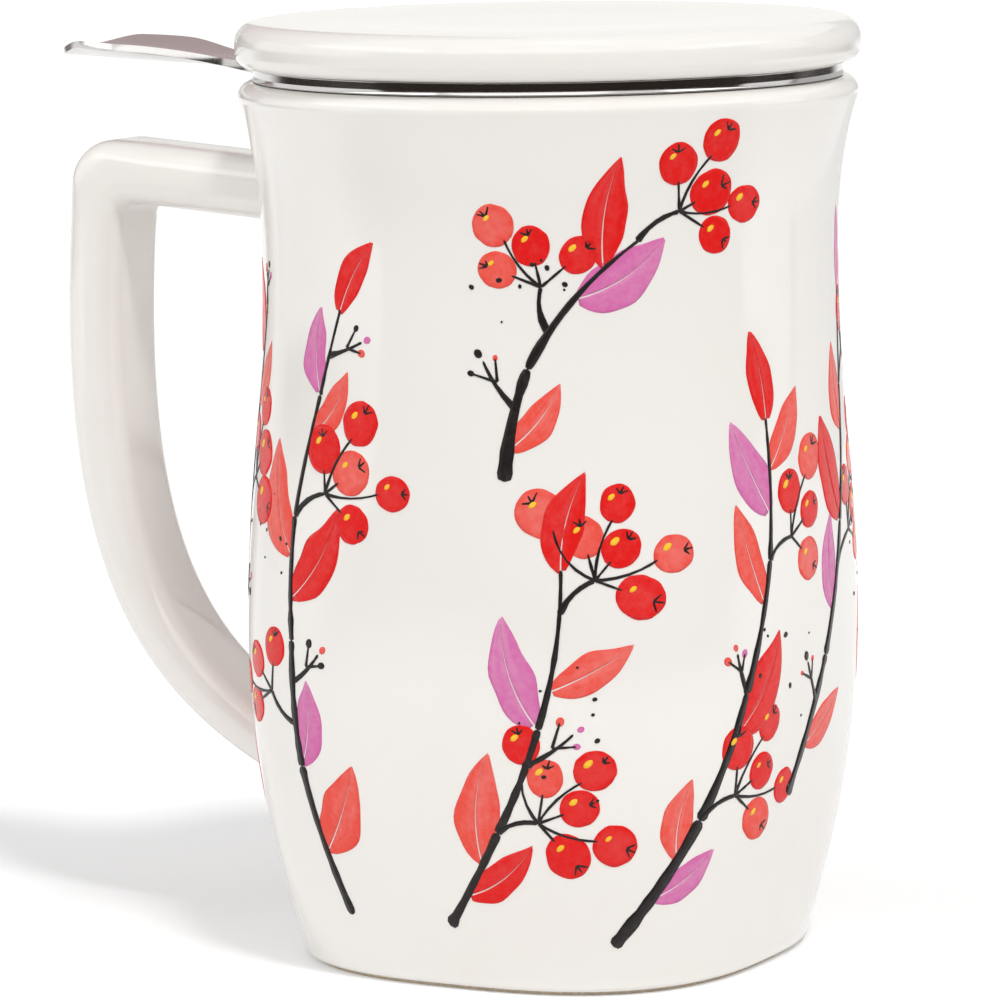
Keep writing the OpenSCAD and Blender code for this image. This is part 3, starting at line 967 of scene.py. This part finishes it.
class MUG_OT_basket(bpy.types.Operator):
    """Make the perforated basket and the cup that closes it"""

    bl_idname = "mug.basket"
    bl_label = "Infuser basket"

    def execute(self, context):
        steel = settings("mug_steel")
        self.tube(steel)
        self.cup(steel)
        return {"FINISHED"}

    def tube(self, steel):
        """A grid of cells, each with a hole left by an inset, rolled into a tube with plain ends."""
        low = BASE_Z + 2 * MM
        band = COLLAR_Z - 1.5 * MM
        first = BASE_Z + BASE_H + 1 * MM
        columns = round(FULL_TURN * BASKET_R / steel.hole_pitch)
        rows = round((band - first) / steel.hole_pitch)
        mid_r = BASKET_R - steel.sheet / 2
        pitch_z = (band - first) / rows
        step = FULL_TURN / columns
        cell = step * mid_r
        bm = bmesh.new()
        bmesh.ops.create_grid(bm, x_segments=columns, y_segments=rows, size=1)
        edge = max(vert.co.x for vert in bm.verts)
        for vert in bm.verts:
            column = (vert.co.x / edge + 1) / 2 * columns
            row = (vert.co.y / edge + 1) / 2 * rows
            vert.co = (column * cell, row * pitch_z, 0)
        self.punch(bm, list(bm.faces), (1 - steel.hole_share) / 2 * min(cell, pitch_z))

        def end_edges(at_end):
            return [edge for edge in bm.edges if edge.is_boundary and all(at_end(v.co.y) for v in edge.verts)]

        hair = 0.01 * MM
        ends = (
            (low - first, end_edges(lambda y: y < hair)),
            (BASKET_TOP - first, end_edges(lambda y: y > rows * pitch_z - hair)),
        )
        for height, edges in ends:
            for vert in draw_out(bm, edges)[0]:
                vert.co.y = height
        for vert in bm.verts:
            turn = vert.co.x / mid_r
            vert.co = (mid_r * cos(turn), mid_r * sin(turn), first + vert.co.y)
        bmesh.ops.remove_doubles(bm, verts=bm.verts, dist=hair)
        bmesh.ops.recalc_face_normals(bm, faces=bm.faces)
        piece = link_piece("basket_tube", bm, basket_steel(), "infuser", ["infuser_basket"], False)
        thicken(piece, "Sheet", steel.sheet * 0.9)

    def punch(self, bm, cells, rim):
        """Leaves a hole in each cell, with its corners cut off, and a rim round it."""
        bmesh.ops.inset_individual(bm, faces=cells, thickness=rim, use_even_offset=True)
        corners = [vert for face in cells for vert in face.verts]
        bmesh.ops.delete(bm, geom=cells, context="FACES_ONLY")
        bmesh.ops.bevel(
            bm, geom=corners, offset=rim * 0.75, offset_type="OFFSET", segments=1, profile=0.5,
            affect="VERTICES", material=-1,
        )

    def cup(self, steel):
        """A round plate with the same fine holes, and a wall drawn up round it."""
        half = steel.sheet / 2
        bend = 2 * MM - half
        flat_r = BASE_R - half - bend
        low = BASE_Z + half
        pitch = steel.hole_pitch
        count = 2 * round(flat_r / pitch)

        def ring(radius, z):
            return lambda turn: (radius * cos(turn), radius * sin(turn), z)

        bm = bmesh.new()
        round_edges = start_ring(bm, 120, ring(flat_r, low))
        grid = bmesh.ops.create_grid(bm, x_segments=count, y_segments=count, size=count * pitch / 2)["verts"]
        for vert in grid:
            vert.co.z = low
        outside = [face for face in bm.faces if face.calc_center_median().xy.length > flat_r - 0.85 * pitch]
        bmesh.ops.delete(bm, geom=outside, context="FACES")
        cells = list(bm.faces)
        stepped_edges = [edge for edge in bm.edges if edge.is_boundary]
        bmesh.ops.triangle_fill(bm, edges=round_edges + stepped_edges, use_beauty=True, use_dissolve=False)
        wall = arc((flat_r, low + bend), bend, -90, 0, 8)[1:] + [(BASE_R - half, BASE_Z + BASE_H)]
        for radius, z in wall:
            round_edges = next_ring(bm, round_edges, ring(radius, z))
        self.punch(bm, cells, (1 - steel.hole_share) / 2 * pitch)
        bmesh.ops.recalc_face_normals(bm, faces=bm.faces)
        piece = link_piece("basket_cup", bm, basket_steel(), "infuser", ["infuser_base"], False)
        thicken(piece, "Sheet", steel.sheet)


# ---- Print on the glaze ----

PAINT_T = 0.12 * MM

# Each colour, from the lowest layer up, with how thinly it is laid.
COLOURS = {"pink": 1.0, "coral": 0.8, "red": 0.3, "ink": 0.12, "yellow": 0.5}

# Each spray: the angle and height of its foot, then of its tip, in degrees and mm, how far it bows to
# the right, and its marks from foot to tip. The marks are c, p and r for a coral, pink or red leaf,
# b for berries, t for a bare twig and a hyphen for a gap. They stand left and right in turn.
SPRAYS = (
    (-112, 9, -97, 88, -9, "c-pbt-rcb-cptr"),
    (-87, 9, -68, 58, 6, "rcb-tpc-br"),
    (-52, 7, -27, 76, 9, "pcb-rt-cbpcr"),
    (-72, 68, -42, 96, -5, "ct-bprb"),
    (-148, 12, -134, 88, -5, "rb-ctpb-crt"),
    (-8, 24, 10, 90, 6, "ct-pbr-cb-p"),
    (40, 8, 54, 66, -6, "p-bcrt-bc"),
    (70, 30, 80, 94, 7, "tc-brp-cbc"),
    (98, 8, 116, 88, -8, "rc-bpt-cb-pc"),
    (134, 10, 146, 70, 5, "c-bprt-bc"),
    (128, 80, 150, 98, -3, "pc-bc"),
)


# Each berry of a bunch: its distance from the twig's hub in berry sizes, its angle in degrees, and the
# bow of its stalk in berry sizes.
BUNCH = ((0.95, 0, 0), (1.05, 62, 0), (1.05, -62, 0), (1.85, 30, 0.1), (1.85, -30, -0.1), (1.9, 86, 0.2))
LEAVES = {"c": "coral", "p": "pink", "r": "red"}

# Where a spray's first and last marks stand, as shares of its length.
FIRST_MARK = 0.1
LAST_MARK = 0.99

# The heights between which spatter may fall.
SPATTER_LOW = 6 * MM
SPATTER_HIGH = 109 * MM


def heading_of(turn):
    """The direction of an angle on the unrolled wall."""
    return Vector((cos(turn), sin(turn)))


class Brush:
    """Lays brush marks on the wall: each is a small grid, bent to its outline and wrapped round the body."""

    def __init__(self, skin, form, sizes):
        self.skin = skin
        self.sizes = sizes
        self.mean_r = form.belly_w
        self.random = random.Random(sizes.seed)
        self.meshes = {name: bmesh.new() for name in COLOURS}
        self.wash = {name: bm.verts.layers.float.new("wash") for name, bm in self.meshes.items()}
        self.count = 0

    def lay(self, name, shape, along, across, wash):
        """shape(u, v) is a place on the unrolled wall, for u from 0 to 1 and v from -1 to 1."""
        bm = self.meshes[name]
        layer = self.wash[name]
        verts = bmesh.ops.create_grid(bm, x_segments=along, y_segments=across, size=1)["verts"]
        edge = max(vert.co.x for vert in verts)
        self.count += 1
        lift = self.sizes.relief + self.sizes.layer * (list(COLOURS).index(name) + (self.count % 5) / 6)
        for vert in verts:
            u = (vert.co.x / edge + 1) / 2
            v = vert.co.y / edge
            place = shape(u, v)
            vert[layer] = min(1, max(0, wash(u, v)))
            turn = place.x / self.mean_r
            r = self.skin.radius(turn, place.y) + lift
            vert.co = (r * cos(turn), r * sin(turn), place.y)

    def vary(self, value, share=0.15):
        return value * self.random.uniform(1 - share, 1 + share)

    def ripple(self, amount, waves=0.35):
        """A slow waver of an edge, as a hand gives it."""
        start = self.random.uniform(0, 100)
        return lambda place: amount * noise.noise((start + place * waves, start, 0))

    def stroke(self, name, path, width, end_width, steps, press=0.0):
        """A line along path(t), round at its ends, and swollen there where the brush is pressed."""
        waver = self.ripple(0.45, 9)
        dry = self.ripple(0.8, 14)
        cap = max(0.02, width / 2 / max((path(1) - path(0)).length, width))

        def shape(u, v):
            t = (1 - cos(pi * u)) / 2
            ahead = path(min(1, t + 0.01)) - path(max(0, t - 0.01))
            side = Vector((-ahead.y, ahead.x)).normalized()
            half = mix(width, end_width, t) / 2 * (1 + waver(t))
            half *= 1 + press * (exp(-((t / 0.10) ** 2)) + 0.7 * exp(-(((1 - t) / 0.08) ** 2)))
            inner = min(1, min(t, 1 - t) / cap)
            return path(t) + side * v * half * (0.12 + 0.88 * sqrt(1 - (1 - inner) ** 2))

        self.lay(name, shape, steps, 2, lambda u, v: 0.1 + dry(u) + 0.5 * ease(u * 3 - 2))

    def blot(self, name, centre, radius, squash=1, turn=0, steps=6, pale=0.2, rough=0.05):
        """A round dab, a little uneven, with the paint pooled along its edge."""
        waver = self.ripple(rough, 1.1)
        axis = heading_of(turn)
        side = Vector((-axis.y, axis.x))

        def shape(u, v):
            x = 2 * u - 1
            round_x = x * sqrt(1 - v * v / 2)
            round_y = v * sqrt(1 - x * x / 2)
            grown = radius * (1 + 2 * waver(round_x * 2 + round_y) + waver(round_y * 3 - round_x))
            return centre + axis * round_x * grown + side * round_y * grown * squash

        self.lay(name, shape, steps, steps, lambda u, v: pale * (2.2 - 2 * max(abs(2 * u - 1), abs(v)) ** 2))

    def leaf(self, name, foot, heading, size, bend):
        """A pointed leaf in two strokes, with a bare line of glaze along its middle."""
        half = size * self.random.uniform(0.19, 0.23)
        for side in (-1, 1):
            waver = self.ripple(0.25, 3.5)
            full = half * self.random.uniform(0.82, 1.1)
            pale = self.random.uniform(0.1, 0.5)
            begin = self.random.uniform(0, 0.06)
            bristle = self.ripple(0.55, 3)

            def shape(u, v, side=side, waver=waver, full=full, begin=begin):
                t = mix(begin, 1 - begin * 0.5, u)
                turn = heading + bend * t
                axis = heading_of(turn)
                across = Vector((-axis.y, axis.x)) * side
                spread = full * sin(pi * t ** 0.85) ** 0.9 * (1 + waver(t))
                gap = 0.11 * MM * (1 - t)
                return foot + axis * size * t + across * (gap + spread * (v + 1) / 2)

            def wash(u, v, pale=pale, bristle=bristle):
                return pale + 0.55 * (u - 0.35) - 0.2 * v + bristle(v + 0.5 * u) * (0.4 + u)

            self.lay(name, shape, 16, 6, wash)

    def berries(self, foot, heading, count):
        """Berries on a forked twig, the nearest first."""
        size = self.sizes.berry
        hub = foot + heading_of(heading) * self.vary(size * 1.1)
        self.curve_stroke(foot, hub, self.vary(0.85 * MM), 0.5 * MM, size * 0.12, press=0.3)
        for reach, aside, bow in BUNCH[:count]:
            turn = heading + radians(aside + self.random.uniform(-6, 6))
            axis = heading_of(turn)
            centre = hub + axis * size * self.vary(reach, 0.06)
            radius = self.vary(size / 2, 0.13)
            self.berry(centre, radius, turn)
            self.curve_stroke(hub, centre - axis * radius * 0.8, 0.42 * MM, 0.26 * MM, size * bow)

    def berry(self, centre, radius, turn):
        """A berry with a glint and the dry remains of its flower."""
        name = self.random.choice(("red", "red", "red", "coral"))
        squash = self.random.uniform(0.88, 1.0)
        self.blot(name, centre, radius, squash, turn, 9, self.random.uniform(0.05, 0.4), 0.025)
        glint = centre + Vector((-0.30, 0.34)) * radius
        self.blot("yellow", glint, radius * self.random.uniform(0.16, 0.26), 0.6, radians(40), 3, 0.3)
        tip = centre + heading_of(turn) * radius * 0.52
        for aside in (-50, 0, 50):
            point = turn + radians(aside + self.random.uniform(-12, 12))
            end = tip + heading_of(point) * radius * self.random.uniform(0.3, 0.5)
            self.curve_stroke(tip, end, 0.36 * MM, 0.18 * MM, 0, 5)

    def curve_stroke(self, start, end, width, end_width, bow, steps=8, press=0.0):
        reach = end - start
        side = Vector((-reach.y, reach.x)).normalized() * bow

        def path(t):
            return start + reach * t + side * 4 * t * (1 - t)

        self.stroke("ink", path, width, end_width, steps, press)

    def twig(self, foot, heading):
        """A bare twig that forks once, with buds."""
        size = self.vary(6.5 * MM, 0.25)
        end = foot + heading_of(heading) * size
        self.curve_stroke(foot, end, 0.8 * MM, 0.3 * MM, self.random.uniform(-0.6, 0.6) * MM, press=0.3)
        fork = foot + (end - foot) * 0.55
        for aside, reach in ((0, 0.15), (38, 0.5), (-30, 0.42)):
            turn = heading + radians(aside)
            bud = (fork if aside else end) + heading_of(turn) * size * reach
            if aside:
                self.curve_stroke(fork, bud, 0.42 * MM, 0.22 * MM, 0, 6)
            name = self.random.choice(("ink", "pink", "coral"))
            self.blot(name, bud, self.vary(0.55 * MM, 0.3), 0.8, turn, 4)

    def spatter(self, centre, spread, count):
        for _ in range(count):
            place = centre + Vector((self.random.gauss(0, spread), self.random.gauss(0, spread)))
            if SPATTER_LOW < place.y < SPATTER_HIGH:
                radius = self.random.uniform(0.14, 0.42) * MM
                self.blot("ink", place, radius, 0.8, self.random.uniform(0, pi), 3)

    def spray(self, foot_turn, foot_z, tip_turn, tip_z, bow, marks):
        foot = Vector((radians(foot_turn) * self.mean_r, foot_z * MM))
        tip = Vector((radians(tip_turn) * self.mean_r, tip_z * MM))
        reach = tip - foot
        side = Vector((reach.y, -reach.x)).normalized() * bow * MM
        last = len(marks) - 1
        stations = [mix(FIRST_MARK, LAST_MARK, i / last) for i in range(len(marks))]
        joints = [0, *stations[2:-2:3], 1]
        kinks = [self.random.uniform(-0.8, 0.8) * MM for _ in joints]

        def path(t):
            i = max(k for k in range(len(joints) - 1) if joints[k] <= max(t, 0))
            kink = mix(kinks[i], kinks[i + 1], (t - joints[i]) / (joints[i + 1] - joints[i]))
            return foot + reach * t + side * (4 * t * (1 - t) + 0.8 * t * t) + Vector((kink, 0))

        width = self.vary(self.sizes.stem)
        for start, end in zip(joints, joints[1:]):

            def part(t, start=start, end=end):
                return path(mix(start, end, t))

            thin = 0.4 * MM
            steps = max(10, round(reach.length * (end - start) / (1.1 * MM)))
            self.stroke("ink", part, mix(width, thin, start), mix(width, thin, end), steps, 0.35)
        for i, (mark, t) in enumerate(zip(marks, stations)):
            ahead = path(min(1, t + 0.02)) - path(t - 0.02)
            heading = -Vector((1, 0)).angle_signed(ahead, 0)
            if i == last:
                lean = self.random.uniform(-8, 8)
            else:
                lean = self.random.uniform(34, 56) * (1 if i % 2 else -1)
            turn = heading + radians(lean)
            size = self.vary(self.sizes.leaf, 0.2)
            bend = radians(self.random.uniform(6, 24)) * (-1 if lean > 0 else 1)
            if mark in LEAVES:
                self.leaf(LEAVES[mark], path(t), turn, size, bend)
            elif mark == "b":
                self.berries(path(t), turn, self.random.randint(4, 6))
            elif mark == "t":
                self.twig(path(t), turn)
        self.spatter(path(0.6) + side.normalized() * 7 * MM, 4.5 * MM, 9)


class MUG_OT_print(bpy.types.Operator):
    """Paint the sprays of leaves and berries on the glaze, one piece for each colour"""

    bl_idname = "mug.print"
    bl_label = "Print"

    def execute(self, context):
        form = settings("mug_form")
        sizes = settings("mug_print")
        finish = settings("mug_finish")
        brush = Brush(Skin(form), form, sizes)
        for spray in SPRAYS:
            brush.spray(*spray)
        for name, bm in brush.meshes.items():
            bmesh.ops.recalc_face_normals(bm, faces=bm.faces)
            flip = [face for face in bm.faces if face.normal.xy.dot(face.calc_center_median().xy) < 0]
            bmesh.ops.reverse_faces(bm, faces=flip)
            deep = getattr(finish, name)
            pale = tuple(mix(a, b, sizes.thin * COLOURS[name]) for a, b in zip(deep, finish.glaze))
            material = print_material("print_" + name, deep, pale)
            piece = link_piece("print_" + name, bm, material, "mug")
            thicken(piece, "Paint", PAINT_T, -1)
        return {"FINISHED"}


# ---- Stage ----

FLOOR_HALF = 6.0
CARD_DISTANCE = 0.9
SCREEN_R = 0.6
SCREEN_LOW = 0.002
DARK = (0.030, 0.022, 0.019)


def seen_rays(tree):
    """1 for camera, glossy and transmission rays, and 0 for all others."""
    path = tree.nodes.new("ShaderNodeLightPath")
    seen = path.outputs["Is Camera Ray"]
    for kind in ("Is Glossy Ray", "Is Transmission Ray"):
        either = tree.nodes.new("ShaderNodeMath")
        either.operation = "MAXIMUM"
        tree.links.new(seen, either.inputs[0])
        tree.links.new(path.outputs[kind], either.inputs[1])
        seen = either.outputs[0]
    return seen


class MUG_OT_stage(bpy.types.Operator):
    """Make the floor, the lamps and the camera"""

    bl_idname = "mug.stage"
    bl_label = "Stage"

    def execute(self, context):
        studio = settings("mug_studio")
        self.front = studio.azimuth - pi / 2
        self.camera(studio)
        self.floor(studio)
        self.screens()
        self.world(studio)
        for name, side in (("key", 1), ("glint", 1), ("fill", -1), ("front", -1), ("edge", 1)):
            self.lamp(studio, name, side)
        context.scene.view_settings.view_transform = "Standard"
        return {"FINISHED"}

    def camera(self, studio):
        side = Vector((cos(studio.azimuth), sin(studio.azimuth), 0))
        away = Vector((-sin(studio.azimuth), cos(studio.azimuth), 0))
        up = Vector((0, 0, 1))
        right = side * cos(studio.pan) - away * sin(studio.pan)
        level = side * sin(studio.pan) + away * cos(studio.pan)
        ahead = level * cos(studio.pitch) - up * sin(studio.pitch)
        top = level * sin(studio.pitch) + up * cos(studio.pitch)
        rolled_right = right * cos(studio.roll) + top * sin(studio.roll)
        rolled_top = top * cos(studio.roll) - right * sin(studio.roll)
        data = bpy.data.cameras.new("camera")
        data.sensor_fit = "HORIZONTAL"
        data.sensor_width = studio.sensor / MM
        data.lens = studio.focal * data.sensor_width
        data.clip_start = 0.01
        camera = bpy.data.objects.new("camera", data)
        bpy.context.scene.collection.objects.link(camera)
        turn = Matrix((rolled_right, rolled_top, -ahead)).transposed().to_4x4()
        camera.matrix_world = Matrix.Translation(up * studio.height - away * studio.distance) @ turn
        bpy.context.scene.camera = camera

    def floor(self, studio):
        """A wide white floor that adds a little light of its own where it is seen."""
        nodes = Nodes("floor")
        nodes.shader.inputs["Base Color"].default_value = (*[studio.floor_tone] * 3, 1)
        nodes.shader.inputs["Roughness"].default_value = 0.9
        nodes.shader.inputs["Specular IOR Level"].default_value = 0
        glow = nodes.node("ShaderNodeEmission")
        nodes.link(nodes.math("MULTIPLY", seen_rays(nodes.tree), studio.floor_lift), glow.inputs["Strength"])
        both = nodes.node("ShaderNodeAddShader")
        nodes.link(nodes.shader.outputs[0], both.inputs[0])
        nodes.link(glow.outputs[0], both.inputs[1])
        nodes.link(both.outputs[0], nodes.output.inputs["Surface"])
        bm = bmesh.new()
        corners = ((-1, -1), (1, -1), (1, 1), (-1, 1))
        bm.faces.new([bm.verts.new((FLOOR_HALF * x, FLOOR_HALF * y, 0)) for x, y in corners])
        make_object("floor", bm, nodes.material)

    def screens(self):
        """Screens that only reflections show: dark ones before the mug, with windows, and cards behind it.

        Each row of a screen is a radius, a height and how solid it is there. The angles are in degrees
        from straight in front, and the last one is the width over which its ends fade out."""
        self.bent_screen("curtain", [(SCREEN_R, SCREEN_LOW, 1), (SCREEN_R, 0.36, 1)], -136, 154, 14, DARK)
        apron = [(0.17, SCREEN_LOW, 0), (0.34, SCREEN_LOW, 1), (SCREEN_R, SCREEN_LOW, 1)]
        self.bent_screen("apron", apron, -92, 92, 24, DARK)
        near = SCREEN_R - 0.01
        for name, start, end in (("left", -134, -66), ("right", 78, 110)):
            rows = [(near, 0.004, 1), (near, 0.042, 1), (near, 0.052, 0)]
            self.bent_screen(name + "_low_window", rows, start, end, 4, (1, 1, 1))
            rows = [(near, 0.106, 0), (near, 0.120, 1), (near, 0.340, 1)]
            self.bent_screen(name + "_high_window", rows, start, end, 4, (1, 1, 1))
        rows = [(near, 0.004, 1), (near, 0.062, 1), (near, 0.070, 0)]
        self.bent_screen("low_wing", rows, 106, 170, 8, (0.8, 0.8, 0.8))
        rows = [(near, 0.084, 0), (near, 0.094, 1), (near, 0.340, 1)]
        self.bent_screen("high_wing", rows, 106, 170, 8, (0.6, 0.6, 0.6))
        self.card("tip_card", (-2.2, -0.122), (0.08, 0.25), (0.24, 0.22, 0.21))
        self.card("tab_card", (-2.2, -0.07), (0.24, 2.4), (0.56, 0.46, 0.46))
        self.card("lid_card", (-0.35, 0.30), (0.06, 0.24), (0.96, 0.945, 0.91))

    def bent_screen(self, name, rows, start, end, fade, colour):
        """A screen bent round the mug through its rows."""
        steps = 48
        bm = bmesh.new()
        veil = bm.verts.layers.float.new("veil")
        station = bm.verts.layers.float.new("station")
        edges = []
        for radius, z, solid in rows:
            if edges:
                verts, edges = draw_out(bm, edges)
            else:
                verts = [bm.verts.new((i, 0, 0)) for i in range(steps + 1)]
                edges = [bm.edges.new(pair) for pair in zip(verts, verts[1:])]
                for i, vert in enumerate(verts):
                    vert[station] = i / steps
            for vert in verts:
                turn = mix(start, end, vert[station])
                facing = self.front + radians(turn)
                vert.co = (radius * cos(facing), radius * sin(facing), z)
                vert[veil] = solid * ease(min(turn - start, end - turn) / fade)
        self.hide_screen(name, bm, colour)

    def card(self, name, sides, heights, colour):
        """An upright card behind the mug, between two places across and two heights."""
        bm = bmesh.new()
        veil = bm.verts.layers.float.new("veil")
        across = Vector((-sin(self.front), cos(self.front), 0))
        away = Vector((-cos(self.front), -sin(self.front), 0)) * CARD_DISTANCE
        (left, right), (low, high) = sides, heights
        corners = ((left, low), (right, low), (right, high), (left, high))
        verts = [bm.verts.new(across * x + away + Vector((0, 0, z))) for x, z in corners]
        for vert in verts:
            vert[veil] = 1
        bm.faces.new(verts)
        self.hide_screen(name, bm, colour)

    def hide_screen(self, name, bm, colour):
        """Makes a glowing screen that only glossy rays meet, as solid as its veil says."""
        nodes = Nodes(name)
        glow = nodes.node("ShaderNodeEmission")
        glow.inputs["Color"].default_value = (*colour, 1)
        clear = nodes.node("ShaderNodeBsdfTransparent")
        both = nodes.node("ShaderNodeMixShader")
        nodes.link(nodes.attribute("veil"), both.inputs["Fac"])
        nodes.link(clear.outputs[0], both.inputs[1])
        nodes.link(glow.outputs[0], both.inputs[2])
        nodes.link(both.outputs[0], nodes.output.inputs["Surface"])
        screen = make_object(name, bm, nodes.material)
        screen.visible_camera = False
        screen.visible_diffuse = False
        screen.visible_shadow = False
        screen.visible_transmission = False

    def world(self, studio):
        """Even light from all round, and plain white where it is seen."""
        world = bpy.data.worlds.new("studio")
        world.use_nodes = True
        bpy.context.scene.world = world
        tree = world.node_tree
        background = tree.nodes["Background"]
        background.inputs["Color"].default_value = (1, 1, 1, 1)
        strength = tree.nodes.new("ShaderNodeMix")
        tree.links.new(seen_rays(tree), strength.inputs["Factor"])
        strength.inputs["A"].default_value = studio.world
        strength.inputs["B"].default_value = 1
        tree.links.new(strength.outputs["Result"], background.inputs["Strength"])

    def lamp(self, studio, name, side):
        """A lamp so far off that it lights the whole floor alike, to the right or, at -1, to the left."""
        data = bpy.data.lights.new(name, "SUN")
        data.energy = getattr(studio, name)
        data.angle = getattr(studio, name + "_spread")
        lamp = bpy.data.objects.new(name, data)
        lamp.visible_glossy = name != "key"
        bpy.context.scene.collection.objects.link(lamp)
        turn = self.front + side * getattr(studio, name + "_side")
        rise = getattr(studio, name + "_rise")
        toward = Vector((cos(turn) * cos(rise), sin(turn) * cos(rise), sin(rise)))
        lamp.location = toward
        lamp.rotation_euler = toward.to_track_quat("Z", "Y").to_euler()


class MUG_PT_panel(bpy.types.Panel):
    """Lists the steps that make the mug"""

    bl_idname = "MUG_PT_panel"
    bl_label = "Lidded tea mug"
    bl_space_type = "VIEW_3D"
    bl_region_type = "UI"
    bl_category = "Tea mug"

    def draw(self, context):
        for operator in OPERATORS:
            self.layout.operator(operator.bl_idname)


OPERATORS = (
    MUG_OT_body,
    MUG_OT_handle,
    MUG_OT_lid,
    MUG_OT_rim,
    MUG_OT_tab,
    MUG_OT_basket,
    MUG_OT_print,
    MUG_OT_stage,
)


def register():
    for group, kind in GROUPS.items():
        bpy.utils.register_class(kind)
        setattr(bpy.types.Scene, group, bpy.props.PointerProperty(type=kind))
    for kind in (*OPERATORS, MUG_PT_panel):
        bpy.utils.register_class(kind)


def unregister():
    for kind in (MUG_PT_panel, *reversed(OPERATORS)):
        bpy.utils.unregister_class(kind)
    for group, kind in reversed(GROUPS.items()):
        delattr(bpy.types.Scene, group)
        bpy.utils.unregister_class(kind)


def main():
    register()
    for operator in OPERATORS:
        group, action = operator.bl_idname.split(".")
        getattr(getattr(bpy.ops, group), action)()
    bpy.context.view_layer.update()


if __name__ == "__main__":
    main()
